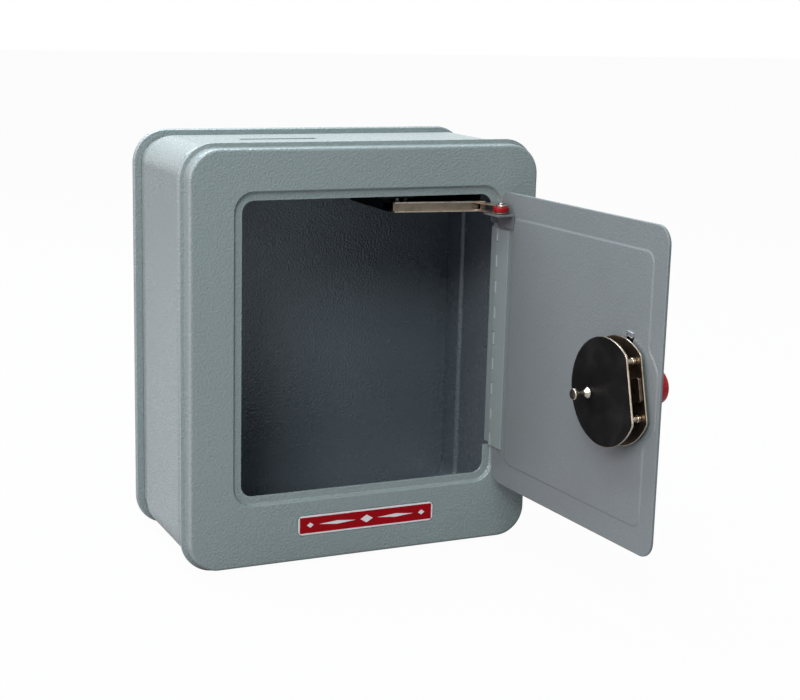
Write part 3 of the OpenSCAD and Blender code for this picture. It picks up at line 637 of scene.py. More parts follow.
@dataclass(frozen=True)
class Metal:
    """Plated or bare metal with fine scratches and a slight tarnish."""

    name: str
    colour: Colour
    tarnish: Colour
    roughness: float = 0.24
    grain: float = 900.0
    stain: float = 210.0
    scratch_depth: float = 0.00001

    def material(self) -> Look:
        """The metal as a material."""
        graph = Graph(self.name)
        stain = graph.noise(self.stain, 3.0, 0.6)
        scratch = graph.noise(self.grain, 3.0, 0.65, 0.6)
        return graph.principled(
            Base_Color=graph.mix(stain.clamp(0.45, 0.75) * 0.6, self.colour, self.tarnish),
            Metallic=1.0,
            Roughness=self.roughness + (scratch - 0.5) * 0.2,
            Normal=graph.bump(scratch, self.scratch_depth),
        )


@dataclass(frozen=True)
class Moulding:
    """Moulded plastic with a faint unevenness."""

    name: str
    colour: Colour
    roughness: float = 0.3
    gloss: float = 0.35
    wave: float = 180.0
    grain: float = 1500.0
    grain_depth: float = 0.000008

    def material(self) -> Look:
        """The plastic as a material."""
        graph = Graph(self.name)
        wave = graph.noise(self.wave, 2.0, 0.5)
        fine = graph.noise(self.grain, 2.0, 0.5)
        dark = tuple(c * 0.9 for c in self.colour)
        return graph.principled(
            Base_Color=graph.mix(wave, dark, self.colour),
            Roughness=self.roughness + (fine - 0.5) * 0.1,
            Normal=graph.bump(fine, self.grain_depth),
            Specular_IOR_Level=self.gloss,
        )


@dataclass(frozen=True)
class Print:
    """The label's print: a coloured field in a pale border, with a plain ornament.

    The ornament is a lozenge in the middle with a tapered bar and a small lozenge on
    each side; a lozenge is where the sum of both distances over its half sizes is below
    one, and a bar is a long thin lozenge.  Each lozenge is given by its distance from
    the middle and its half sizes.
    """

    name: str
    middle: Pair = (0.95, 16.8)
    size: Pair = (61.1, 8.3)
    border: float = 0.75
    field: Colour = (0.30, 0.001, 0.005)
    paper: Colour = (0.66, 0.66, 0.67)
    lozenges: tuple[tuple[float, float, float], ...] = (
        (0.0, 2.8, 1.7), (13.2, 8.2, 0.75), (25.2, 1.5, 1.1),
    )
    wear: float = 400.0
    wear_depth: float = 0.00001
    roughness: float = 0.4
    gloss: float = 0.1

    def material(self) -> Look:
        """The print as a material."""
        graph = Graph(self.name)
        place = graph.place()
        across = abs(graph.axis(place, "X") / MM - self.middle[0])
        up = abs(graph.axis(place, "Z") / MM - self.middle[1])
        edge = self.border
        pale = (across > self.size[0] / 2 - edge) + (up > self.size[1] / 2 - edge)
        for at, half_long, half_high in self.lozenges:
            pale = pale + (abs(across - at) / half_long + up / half_high < 1.0)
        wear = graph.noise(self.wear, 3.0, 0.6)
        field = graph.mix(wear, self.field, tuple(c * 0.8 for c in self.field))
        paper = graph.mix(wear, self.paper, tuple(c * 0.9 for c in self.paper))
        return graph.principled(
            Base_Color=graph.mix(pale.clamp(0.0, 1.0), field, paper),
            Roughness=self.roughness + (wear - 0.5) * 0.1,
            Normal=graph.bump(wear, self.wear_depth),
            Specular_IOR_Level=self.gloss,
        )


@dataclass(frozen=True)
class Graduated:
    """Moulded plastic of the number disc, with pale marks round its edge.

    The angle and the radius about the disc's centre are worked out in the plane of the
    open door.  There are a hundred marks, and each tenth one is longer and wider.  Radii
    are those of the long marks' inner ends, the short marks' inner ends and all outer
    ends, and widths are half widths as shares of the pitch of short and of long marks.
    """

    name: str
    colour: Colour
    centre: Pair
    along: Pair
    height: float
    mark: Colour = (0.62, 0.62, 0.60)
    radii: tuple[float, float, float] = (12.3, 13.5, 14.6)
    widths: Pair = (0.15, 0.03)
    count: int = 100
    grain: float = 1500.0
    grain_depth: float = 0.000008
    roughness: float = 0.3
    gloss: float = 0.35

    def material(self) -> Look:
        """The plastic as a material."""
        graph = Graph(self.name)
        place = graph.place()
        x = graph.axis(place, "X") / MM - self.centre[0]
        y = graph.axis(place, "Y") / MM - self.centre[1]
        across = x * self.along[0] + y * self.along[1]
        up = graph.axis(place, "Z") / MM - self.height
        radius = (across * across + up * up) ** 0.5
        angle = graph.node("ShaderNodeMath", {"operation": "ARCTAN2"}, {0: up, 1: across})
        turn = angle / (2 * math.pi) + 1.0
        long, short, rim = self.radii
        marks = []
        kinds = zip((self.count, self.count / 10), (short, long), self.widths)
        for count, inner, width in kinds:
            part = graph.node("ShaderNodeMath", {"operation": "FRACT"}, {0: turn * count})
            marks.append((abs(part - 0.5) < width) * (radius > inner) * (radius < rim))
        fine = graph.noise(self.grain, 2.0, 0.5)
        worn = graph.mix(fine, self.mark, tuple(c * 0.85 for c in self.mark))
        return graph.principled(
            Base_Color=graph.mix((marks[0] + marks[1]).clamp(0.0, 1.0), self.colour, worn),
            Roughness=self.roughness + (fine - 0.5) * 0.1,
            Normal=graph.bump(fine, self.grain_depth),
            Specular_IOR_Level=self.gloss,
        )


@dataclass(frozen=True)
class Japan:
    """Black stoved lacquer with faint smears."""

    name: str
    colour: Colour = (0.003, 0.003, 0.003)
    roughness: float = 0.45
    gloss: float = 0.13
    smear: float = 70.0
    grain: float = 1300.0
    grain_depth: float = 0.00002

    def material(self) -> Look:
        """The lacquer as a material."""
        graph = Graph(self.name)
        smear = graph.noise(self.smear, 3.0, 0.6, 0.4)
        fine = graph.noise(self.grain, 2.0, 0.5)
        pale = tuple(c * 1.9 + 0.004 for c in self.colour)
        return graph.principled(
            Base_Color=graph.mix(smear.clamp(0.4, 0.8), self.colour, pale),
            Roughness=self.roughness + (smear - 0.5) * 0.2,
            Normal=graph.bump(fine, self.grain_depth),
            Specular_IOR_Level=self.gloss,
        )


# Stage, light and camera


def stand(
    data: bpy.types.Camera | bpy.types.Light,
    place: Point,
    right: np.ndarray,
    up: np.ndarray,
    ahead: np.ndarray,
) -> bpy.types.Object:
    """Puts a camera or a lamp in the scene.

    Args:
        data: Its data, whose name it takes.
        place: Where it stands, in metres.
        right: Its right.
        up: Its upward direction.
        ahead: The direction that it faces.

    Returns:
        Its object.
    """
    item = bpy.data.objects.new(data.name, data)
    bpy.context.scene.collection.objects.link(item)
    matrix = np.eye(4)
    matrix[:3] = np.column_stack([right, up, -ahead, place])
    item.matrix_world = matrix.T.tolist()
    return item


@dataclass(frozen=True)
class Lamp:
    """A soft rectangular lamp that faces the box, in metres and watts."""

    name: str
    place: Point
    size: Pair
    power: float
    colour: Colour
    aim: Point = (0.0, 0.03, 0.085)

    def build(self) -> None:
        """Makes the lamp, level unless it looks almost straight down."""
        data = bpy.data.lights.new(self.name, "AREA")
        data.shape = "RECTANGLE"
        data.size, data.size_y = self.size
        data.energy = self.power
        data.color = self.colour
        ahead = np.array(self.aim) - np.array(self.place)
        ahead /= np.linalg.norm(ahead)
        steep = abs(ahead[2]) >= 0.95
        right = np.cross(ahead, np.array([0.0, 1.0, 0.0] if steep else [0.0, 0.0, 1.0]))
        right /= np.linalg.norm(right)
        stand(data, self.place, right, np.cross(right, ahead), ahead)


@dataclass
class Studio:
    """Pale floor, soft lamps and the camera."""

    place: Point = (-0.256563, -0.590189, 0.227758)
    yaw: float = 24.909
    pitch: float = 12.273
    roll: float = 1.482
    lens: float = 72.0
    sensor: float = 36.0
    clip: Pair = (0.01, 20.0)
    floor_half: float = 6.0
    floor_greys: Pair = (0.34, 0.36)
    floor_white: float = 0.97
    dim: Colour = (0.96, 0.98, 1.0)
    dim_strength: float = 0.02
    lamps: tuple[Lamp, ...] = (
        Lamp("top_lamp", (-0.15, 0.5, 1.1), (1.0, 1.0), 23.0, (0.82, 0.92, 1.0)),
        Lamp("brow_lamp", (-0.35, -0.55, 1.25), (0.6, 0.5), 10.0, (0.92, 0.97, 1.0)),
        Lamp("left_lamp", (-1.3, -0.1, 0.5), (1.2, 1.2), 15.5, (1.0, 0.75, 0.80)),
        Lamp("front_lamp", (-0.8, -1.1, 1.0), (0.5, 0.5), 13.5, (0.93, 0.98, 1.0)),
    )

    def camera(self) -> None:
        """Makes the camera: it looks along yaw and pitch and is rolled about that line."""
        data = bpy.data.cameras.new("camera")
        data.lens, data.sensor_width = self.lens, self.sensor
        data.clip_start, data.clip_end = self.clip
        a, b, c = (math.radians(v) for v in (self.yaw, self.pitch, self.roll))
        ahead = np.array([math.sin(a) * math.cos(b), math.cos(a) * math.cos(b), -math.sin(b)])
        right = np.array([math.cos(a), -math.sin(a), 0.0])
        up = np.cross(right, ahead)
        side = math.cos(c) * right + math.sin(c) * up
        top = -math.sin(c) * right + math.cos(c) * up
        bpy.context.scene.camera = stand(data, self.place, side, top, ahead)

    def floor(self) -> None:
        """Makes the floor, white to the camera apart from a soft shadow."""
        graph = Graph("floor")
        dark, light = ((grey, grey, grey) for grey in self.floor_greys)
        pale = graph.mix(graph.noise(40.0, 2.0), dark, light)
        diffuse = graph.node("ShaderNodeBsdfDiffuse", None, {"Color": pale})
        white = {"Color": (1.0, 1.0, 1.0), "Strength": 1.0}
        glow = graph.node("ShaderNodeEmission", None, white)
        seen = graph.node("ShaderNodeLightPath", output="Is Camera Ray") * self.floor_white
        shader = graph.node("ShaderNodeMixShader", None, {0: seen, 1: diffuse, 2: glow})
        half = self.floor_half
        corners = [(-half, -half, 0), (half, -half, 0), (half, half, 0), (-half, half, 0)]
        mesh = bpy.data.meshes.new("floor")
        mesh.from_pydata(corners, [], [(0, 1, 2, 3)])
        mesh.materials.append(graph.end(shader))
        floor = bpy.data.objects.new("floor", mesh)
        bpy.context.scene.collection.objects.link(floor)
        floor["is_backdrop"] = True

    def world(self) -> None:
        """Makes the surroundings: dim to the object, white to the camera and in gloss."""
        graph = Graph("world", "World")
        dim = {"Color": self.dim, "Strength": self.dim_strength}
        white = {"Color": (1.0, 1.0, 1.0), "Strength": 1.0}
        rays = ("Is Camera Ray", "Is Glossy Ray")
        seen = {i: graph.node("ShaderNodeLightPath", output=ray) for i, ray in enumerate(rays)}
        either = graph.node("ShaderNodeMath", {"operation": "MAXIMUM"}, seen)
        backs = [graph.node("ShaderNodeBackground", None, inputs) for inputs in (dim, white)]
        shader = graph.node("ShaderNodeMixShader", None, {0: either, 1: backs[0], 2: backs[1]})
        bpy.context.scene.world = graph.end(shader)

    def build(self) -> None:
        """Makes the whole stage."""
        bpy.context.scene.view_settings.view_transform = "Standard"
        self.camera()
        self.floor()
        self.world()
        for lamp in self.lamps:
            lamp.build()
        LOG.info("stage, lamps and camera are made")


# Pieces


class Finish(Enum):
    """The finishes of the box: the record's material slots, and two darker copies for inner sides,
    which are painted shade.
    """

    CASE = "case_paint"
    INSIDE = "case_paint_shade_inside"
    DOOR = "door_paint"
    HINGE = "hinge_paint"
    LUG = "lug_paint"
    LABEL = "label_face"
    PLATE = "lock_plate"
    LOCK = "lock_metal"
    WHEEL = "wheel_metal"
    BOLT = "bolt_metal"
    PIN = "pin_steel"
    DIAL = "dial_plastic"
    INDEX = "index_metal"
    ARM = "arm_metal"
    ARM_INSIDE = "arm_metal_shade_inside"
    ROLLER = "roller_plastic"
    HOUSING = "housing_paint"
    BELL = "bell_metal"


# Colour of the outside's enamel and of the lock's bright metal
GREY = (0.205, 0.250, 0.245)
NICKEL = (0.60, 0.53, 0.43)

COATS: dict[Finish, Enamel | Metal | Moulding | Print | Japan] = {
    Finish.CASE: Enamel("case_enamel", GREY),
    # Darker, bluer copy of the case's enamel for inner sides: painted shade
    Finish.INSIDE: Enamel(
        "inside_shade_enamel", (0.114, 0.136, 0.152), peel=1050.0, peel_depth=0.0004
    ),
    Finish.DOOR: Enamel(
        "door_enamel", (0.146, 0.173, 0.173), roughness=0.4, peel=1050.0, peel_depth=0.00013,
        mottle=0.04, pit=0.08,
    ),
    Finish.HINGE: Enamel(
        "hinge_enamel", GREY, roughness=0.35, peel=900.0, peel_depth=0.00006, mottle=0.05, pit=0.05
    ),
    # Darker copy of the door's grey for the lug under the roller: painted shade
    Finish.LUG: Enamel(
        "lug_enamel_painted_shade", (0.105, 0.113, 0.120), roughness=0.4, peel=900.0, peel_depth=0.00006,
        mottle=0.05, pit=0.05,
    ),
    Finish.LABEL: Print("label_print"),
    Finish.PLATE: Japan("plate_lacquer"),
    Finish.LOCK: Metal("lock_nickel", NICKEL, (0.22, 0.15, 0.07)),
    # Wheels and bolt sit between the lock's plates; their very dark brass and bronze is painted
    # shade
    Finish.WHEEL: Metal("wheel_brass_painted_shade", (0.20, 0.13, 0.06), (0.07, 0.045, 0.02), 0.35),
    Finish.BOLT: Metal("bolt_bronze_painted_shade", (0.16, 0.12, 0.085), (0.05, 0.035, 0.025), 0.38),
    Finish.PIN: Metal("pin_steel", (0.30, 0.29, 0.28), (0.12, 0.11, 0.10), 0.3),
    Finish.DIAL: Moulding("dial_red", (0.56, 0.003, 0.012), 0.25),
    Finish.INDEX: Metal("index_aluminium", (0.75, 0.79, 0.86), (0.5, 0.5, 0.55), 0.35),
    Finish.ARM: Metal("arm_nickel", (0.58, 0.51, 0.43), (0.22, 0.17, 0.12), 0.3),
    # Darker copy of the arm's nickel for the web inside the channel: painted shade
    Finish.ARM_INSIDE: Metal("arm_painted_shade", (0.26, 0.22, 0.17), (0.12, 0.09, 0.06), 0.34),
    Finish.ROLLER: Moulding("roller_red", (0.24, 0.001, 0.005), 0.35, 0.25),
    Finish.HOUSING: Japan("housing_black", (0.004, 0.004, 0.004), 0.6, 0.1),
    Finish.BELL: Metal("bell_nickel", (0.72, 0.68, 0.6), (0.4, 0.36, 0.3), 0.22),
}


@dataclass
class Workshop:
    """What every sub-assembly needs: the loaded frame and the finishes."""

    frame: dict
    looks: dict[Finish, Look]

    def __post_init__(self) -> None:
        """Notes the body and the finish of each node."""
        record = self.frame["record"]
        bodies = record["behaviour"]["bodies"]
        self.bodies = {node: body for body, nodes in bodies.items() for node in nodes}
        self.slots = {part["node"]: Finish(part["material_slot"]) for part in record["subparts"]}

    def show(
        self,
        node: str,
        mesh: bpy.types.Mesh,
        *more: Finish,
        look: Look | None = None,
        bevel: float = 0.0,
    ) -> None:
        """Shows a mesh in place of a node, on its body and in its finish.

        Args:
            node: The node.
            mesh: The mesh that stands for it.
            more: Finishes of the mesh's further marks.
            look: A material of its own, instead of the node's finish.
            bevel: Width of the bevel on its sharp edges, in millimetres.
        """
        body, slot = self.bodies[node], self.slots[node]
        # Clearing resets the marks too, so a mesh without materials is left as it is
        if mesh.materials:
            mesh.materials.clear()
        for each in (look or self.looks[slot], *(self.looks[finish] for finish in more)):
            mesh.materials.append(each)
        mesh.shade_smooth()
        mesh.set_sharp_from_angle(angle=math.radians(SHARP))
        piece = bpy.data.objects.new(node + "_piece", mesh)
        bpy.context.scene.collection.objects.link(piece)
        if bevel:
            edge = piece.modifiers.new("edges", "BEVEL")
            edge.width = bevel * MM
            edge.segments = 2
            edge.limit_method = "ANGLE"
            edge.angle_limit = math.radians(SHARP)
            edge.harden_normals = False
        even = piece.modifiers.new("normals", "WEIGHTED_NORMAL")
        even.keep_sharp = not bevel
        even.weight = 90
        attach(piece, body)
        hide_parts(node)
        LOG.info("%s: %d faces, on %s", piece.name, len(mesh.polygons), body)

    def dress(self, node: str) -> None:
        """Gives a node that stays as it is the finish that the record names for it."""
        mesh = self.frame["nodes"][node].data
        mesh.materials.clear()
        mesh.materials.append(self.looks[self.slots[node]])

    def ease(self, node: str, width: float) -> None:
        """Shows a node's own shape with eased edges.

        Args:
            node: The node.
            width: Width of the bevel on its edges, in millimetres.
        """
        mesh = self.frame["nodes"][node].data.copy()
        merge(mesh, flatten=True)
        self.show(node, mesh, bevel=width)


@dataclass
class Case:
    """The pressed steel case: two end caps, the band between them and the label."""

    shop: Workshop
    width: float = 154.7
    height: float = 173.1
    depth: float = 80.4
    sheet: float = 1.0
    edge_r: float = 1.5
    rim_at: Pair = (6.5, 7.6)
    rim_inside: float = 7.4
    rim_out: float = 1.8
    rim_slope: float = 0.2
    lip_back: float = 0.5
    seat: float = 0.6
    seat_gap: float = 0.05
    groove_deep: float = 1.6
    side_r: float = 12.2
    cap: float = 8.5
    groove: float = 6.2
    rear_groove: float = 7.7
    rear_keep: float = 9.0
    joggle: float = 1.3
    joggle_lag: float = 0.5
    slot: tuple[float, float, float] = (-24.7, 34.0, 4.6)
    slot_cut: Pair = (3.0, 2.0)
    recess: Box = (-57.15, 58.87, 27.8, 154.4)
    recess_r: float = 8.0
    recess_deep: float = 1.6
    slope_w: float = 0.7
    slope_shift: float = 0.6
    opening: Box = (-53.75, 55.37, 31.2, 151.0)
    opening_r: float = 5.0
    notch: Box = (50.37, 59.92, 43.2, 146.5)
    clear: float = 1.0
    flange_bite: float = 0.3
    flange_back: float = 8.1
    label_at: Pair = (0.95, 16.8)
    label_size: Pair = (61.1, 8.3)
    label_r: float = 2.0
    label_gap: float = 0.35
    pocket: float = 0.4

    def outline(self) -> Round:
        """The rectangle of the side walls' corner centres."""
        half = self.width / 2 - self.rim_out - self.side_r
        low = self.rim_out + self.side_r
        return Round(-half, half, low, self.height - low)

    def cap_side(self) -> list[Point]:
        """Section of a cap's side from the face's edge round the rim to the inside."""
        r, rim, sheet = self.side_r, self.side_r + self.rim_out, self.sheet
        near, far = self.rim_at
        seat = r - self.groove_deep + self.seat_gap
        return [
            (r, 0.0, self.edge_r), (r, near - self.rim_slope, 0.25),
            (rim, near, 0.25), (rim, far, 0.3), (rim - self.lip_back, self.cap, 0.15),
            (seat, self.cap, 0.1), (seat, self.cap - self.seat, 0.1),
            (rim - sheet, self.rim_inside, 0.2), (r - sheet, near, 0.2), (r - sheet, sheet, 0.5),
        ]

    def label_shape(self, gap: float = 0.0) -> Round:
        """The label's rectangle with a gap round it."""
        (x, z), (w, h) = self.label_at, self.label_size
        left, right, low, high = x - w / 2 - gap, x + w / 2 + gap, z - h / 2 - gap, z + h / 2 + gap
        return Round.outside(left, right, low, high, self.label_r + gap)

    def front_frame(self) -> None:
        """The front cap: rings from the side round the rim, the opening and back to the face.

        The darker inside finish, painted shade, runs from the seat to the middle of the opening's
        inner edge.
        """
        outer = self.outline()
        recess = Round.outside(*self.recess, self.recess_r)
        opening = Round.outside(*self.opening, self.opening_r)
        deep, sheet = self.recess_deep, self.sheet
        top, foot = self.recess_r + self.slope_w / 2, self.recess_r - self.slope_w / 2
        side = self.cap_side()
        chain = [(outer, *corner) for corner in side] + [
            (recess, top + self.slope_shift, sheet, 0.3),
            (recess, foot + self.slope_shift, deep + sheet, 0.3),
            (opening, self.opening_r, deep + sheet, 0.25),
            (opening, self.opening_r, deep, 0.25),
            (recess, foot, deep, 0.35),
            (recess, top, 0.0, 0.4),
        ]
        corners = [shape.ring(np.array([out]), np.array([at]))[0] for shape, out, at, _ in chain]
        rings = rounded(np.stack(corners), np.array([corner[3] for corner in chain]))
        marks = np.zeros(len(rings), dtype=int)
        last = (len(side) + 2) * STEPS + STEPS // 2
        marks[INSIDE_FROM * STEPS : last + 1] = 1
        frame = Shell().skin(rings, True, marks).mesh("front_frame")
        r = self.label_r + self.label_gap
        pocket = self.label_shape(self.label_gap).ring(
            np.array([r, r]), np.array([-self.clear, self.pocket])
        )
        left, right, low, high = self.notch
        notch = Shell().block((left, -self.clear, low), (right, deep + sheet + self.clear, high))
        mesh = carved(frame, [Shell().skin(pocket).mesh("pocket"), notch.mesh("notch")])
        flange = Shell().block(
            (right, sheet - self.flange_bite, low), (right + sheet, self.flange_back, high), 0.2
        )
        self.shop.show("front_frame", joined([mesh, flange.mesh("flange")]), Finish.INSIDE)

    def rear_cover(self) -> None:
        """The rear cap: the same section, mirrored in depth and closed by a flat plate."""
        section = eased(self.cap_side())
        keep = self.side_r - self.rear_keep
        rows = np.vstack([[[keep, 0.0]], section, [[keep, self.sheet]]])
        rings = self.outline().ring(rows[:, 0], self.depth - rows[:, 1])
        # Rows inside the case take the darker inside finish: painted shade
        marks = (np.arange(len(rings) - 1) > INSIDE_FROM * STEPS).astype(int)
        mesh = Shell().skin(rings, marks=marks).mesh("rear_cover")
        self.shop.show("rear_cover", mesh, Finish.INSIDE)

    def body_band(self) -> None:
        """The band: a joggled section round the case, with the coin slot cut in its top."""
        neck, r, t = self.side_r - self.groove_deep, self.side_r, self.sheet
        g0, g1 = self.cap + self.groove, self.depth - self.cap - self.rear_groove
        e0, e1 = self.cap - self.seat, self.depth - self.cap + self.seat
        j, lag = self.joggle, self.joggle_lag
        section = eased([
            (neck, e0, 0.1), (neck, g0, 0.9), (r, g0 + j, 0.9),
            (r, g1 - j, 0.9), (neck, g1, 0.9), (neck, e1, 0.1),
            (neck - t, e1, 0.1), (neck - t, g1 - lag, 0.6), (r - t, g1 - (j + lag), 0.6),
            (r - t, g0 + (j + lag), 0.6), (neck - t, g0 + lag, 0.6), (neck - t, e0, 0.1),
        ])
        rings = self.outline().ring(section[:, 0], section[:, 1])
        # Rows inside the case take the darker inside finish: painted shade
        marks = (np.arange(len(rings)) >= INSIDE_FROM * STEPS).astype(int)
        mesh = Shell().skin(rings, True, marks).mesh("body_band")
        (x, long, wide), (below, above) = self.slot, self.slot_cut
        y, top = self.depth / 2, self.height - self.rim_out
        low = (x - long / 2, y - wide / 2, top - below)
        high = (x + long / 2, y + wide / 2, top + above)
        cut = Shell().block(low, high, 0.02)
        mesh = carved(mesh, [cut.mesh("slot")])
        self.shop.show("body_band", mesh, Finish.INSIDE, bevel=0.15)

    def label_plate(self) -> None:
        """The label: a thin plate with a printed face."""
        back = self.pocket
        section = np.array([[-0.08, back], [0, back - 0.08], [0, back - 0.2], [-0.1, back - 0.3]])
        rings = self.label_shape().ring(section[:, 0] + self.label_r, section[:, 1])
        self.shop.show("label_plate", Shell().skin(rings).mesh("label_plate"))

    def build(self) -> None:
        """Builds the case's pieces."""
        self.front_frame()
        self.rear_cover()
        self.body_band()
        self.label_plate()


@dataclass
class Door:
    """The door, which stands open on the hinge's pin, with its pressed fields."""

    shop: Workshop
    open: float = 93.56
    hinge_x: float = 58.57
    hinge_y: float = 0.6
    outline: Box = (1.5, 115.0, 28.25, 152.65)
    corner_r: float = 7.0
    field: Box = (11.5, 107.6, 37.85, 143.05)
    field_r: float = 5.0
    field_h: float = 0.3
    field_slope: float = 1.2
    field_edge: float = 1.2
    field_blend: float = 1.2
    field_inner: float = 6.0
    rays: int = 560
    reach: float = 120.0
    halvings: int = 34
    lock_at: Pair = (91.86, 88.21)
    lock_round: float = 24.3
    outer: float = -0.55
    inner: float = 0.65
    bore_r: float = 2.05
    index_turn: float = 10.2
    index_rise: float = 21.7
    lug_ease: float = 0.14

    def axes(self) -> Axes:
        """Axes of the door: right runs from the hinge along it, depth to its inside."""
        a = math.radians(self.open)
        c, s = math.cos(a), math.sin(a)
        hinge = [self.hinge_x, self.hinge_y, 0.0]
        return Axes(*np.array([hinge, [-c, -s, 0.0], [-s, c, 0.0], [0.0, 0.0, 1.0]]))

    def lock_axes(self) -> Axes:
        """The door's axes moved to the lock's centre."""
        return self.axes().moved(self.lock_at[0], 0.0, self.lock_at[1])

    def mark_axes(self) -> Axes:
        """Axes of the index mark, whose up points away from the lock's centre."""
        return self.lock_axes().tilted(-self.index_turn).moved(0.0, 0.0, self.index_rise)

    @staticmethod
    def away(p: np.ndarray, box: Box, r: float) -> np.ndarray:
        """Distance of points outside a rectangle with round corners.

        The rectangle is shrunk by its corner radius, and the radius is taken off the
        distance to what is left.

        Args:
            p: Points in the door's plane.
            box: Left, right, bottom and top.
            r: Corner radius.

        Returns:
            Distances, negative inside.
        """
        middle = np.array([box[0] + box[1], box[2] + box[3]]) / 2
        half = np.array([box[1] - box[0], box[3] - box[2]]) / 2 - r
        q = np.abs(p - middle) - half
        return np.linalg.norm(np.maximum(q, 0), axis=-1) + np.minimum(q.max(axis=-1), 0) - r

    def edge(self, p: np.ndarray) -> np.ndarray:
        """Distance of points outside the door's outline."""
        return self.away(p, self.outline, self.corner_r)

    def pressed(self, p: np.ndarray) -> np.ndarray:
        """Distance of points outside the pressed field.

        The field is a rectangle and a round joined by a smooth minimum of both distances,
        and it is kept clear of the door's edge.
        """
        square = self.away(p, self.field, self.field_r)
        circle = np.linalg.norm(p - np.array(self.lock_at), axis=-1) - self.lock_round
        both = smooth_min(circle, square, self.field_blend)
        return np.maximum(both, self.edge(p) + self.field_edge)

    def level(self, shape: Callable[[np.ndarray], np.ndarray], inset: float) -> np.ndarray:
        """Ring of points at a distance inside a shape, found by halving along rays.

        Args:
            shape: Distance function.
            inset: Distance inside the shape.

        Returns:
            Points of the ring.
        """
        angle = np.arange(self.rays) * 2 * math.pi / self.rays
        ray = np.stack([np.cos(angle), np.sin(angle)], axis=-1)
        left, right, bottom, top = self.outline
        middle = np.array([left + right, bottom + top]) / 2
        low, high = np.zeros(self.rays), np.full(self.rays, self.reach)
        for _ in range(self.halvings):
            half = (low + high) / 2
            inside = shape(middle + ray * half[:, None]) < -inset
            low, high = np.where(inside, half, low), np.where(inside, high, half)
        return middle + ray * low[:, None]

    def panel(self) -> None:
        """The panel: rings from the middle of one side over the edge to the other's.

        The field's slope rises as t^2 (3 - 2t).  A dent under the index tab is black lacquer:
        painted shadow for the dark slot.
        """
        rise = np.linspace(0.0, 1.0, 6)
        ramp = list(zip(rise, rise * rise * (3 - 2 * rise)))
        outer, inner, slope, high = self.outer, self.inner, self.field_slope, self.field_h
        spans = [(self.pressed, slope + self.field_inner, outer + high)]
        spans += [(self.pressed, slope * (1 - t), outer + high * (1 - h)) for t, h in ramp]
        spans += [(self.edge, inset, depth) for inset, depth in (
            (0.5, outer), (0.35, outer), (0.1, outer + 0.1), (0.0, outer + 0.35),
            (0.0, inner - 0.35), (0.1, inner - 0.1), (0.35, inner), (0.5, inner),
        )]
        spans += [(self.pressed, slope * t, inner + high * h) for t, h in ramp]
        spans += [(self.pressed, slope + self.field_inner, inner + high)]
        flat = np.stack([self.level(shape, inset) for shape, inset, _ in spans])
        depth = np.broadcast_to(np.array([span[2] for span in spans])[:, None], flat.shape[:2])
        rings = np.stack([flat[..., 0], depth, flat[..., 1]], axis=-1)
        mesh = Shell(self.axes()).skin(rings).mesh("door_panel")
        hole = turned(np.array([[self.bore_r, -PAST], [self.bore_r, PAST]]))
        bore = Shell(self.lock_axes()).skin(hole)
        mark = self.mark_axes()
        slot = Shell(mark).block((-2.45, -PAST, -0.4), (2.45, PAST, 0.4))
        # Black dent under the tab: painted shadow where the slot is dark
        dent = Shell(mark).block((-2.1, outer + 0.5, -2.2), (2.1, PAST, -0.2))
        dent.marks = [1] * len(dent.faces)
        mesh = carved(mesh, [bore.mesh("bore"), slot.mesh("tab_slot"), dent.mesh("dent")])
        self.shop.show("door_panel", mesh, Finish.HOUSING)

    def index_mark(self) -> None:
        """The index mark: a plate outside, a strip through the door and a tab inside."""
        out, back = self.outer + self.field_h, self.inner + self.field_h
        shell = Shell(self.mark_axes()).block((-2.3, out - 0.5, -0.25), (2.3, out, 6.75), 0.1)
        shell.block((-1.8, out - 0.2, -0.22), (1.8, back + 0.3, 0.22), 0.06)
        shell.block((-1.8, back + 0.02, -0.25), (1.8, back + 0.5, 1.7), 0.1)
        self.shop.show("dial_index", shell.mesh("dial_index"))

    def build(self) -> None:
        """Builds the door's own pieces."""
        self.panel()
        self.index_mark()
        self.shop.ease("door_lug", self.lug_ease)


@dataclass
class Hinge:
    """The hinge: two leaves with rolled knuckles on one pin."""

    shop: Workshop
    door: Door
    leaf: float = 7.5
    reach: float = 9.5
    tip: float = 0.1
    ease: float = 0.12

    def door_leaf(self) -> None:
        """The door's leaf: its free edge, the last part of it, is drawn out along the door."""
        axes = self.door.axes()
        mesh = self.shop.frame["nodes"]["hinge_leaf_door"].data.copy()
        merge(mesh, flatten=True)
        points = np.empty(3 * len(mesh.vertices))
        mesh.vertices.foreach_get("co", points)
        points = points.reshape(-1, 3)
        along = (points / MM + np.array([0.0, FOOT, 0.0]) - axes.origin) @ axes.right
        points[along > self.leaf - self.tip] += (self.reach - self.leaf) * axes.right * MM
        mesh.vertices.foreach_set("co", points.ravel())
        mesh.update()
        self.shop.show("hinge_leaf_door", mesh, bevel=self.ease)

    def build(self) -> None:
        """Builds the hinge's pieces."""
        self.shop.ease("hinge_leaf_frame", self.ease)
        self.door_leaf()
        self.shop.dress("hinge_pin")


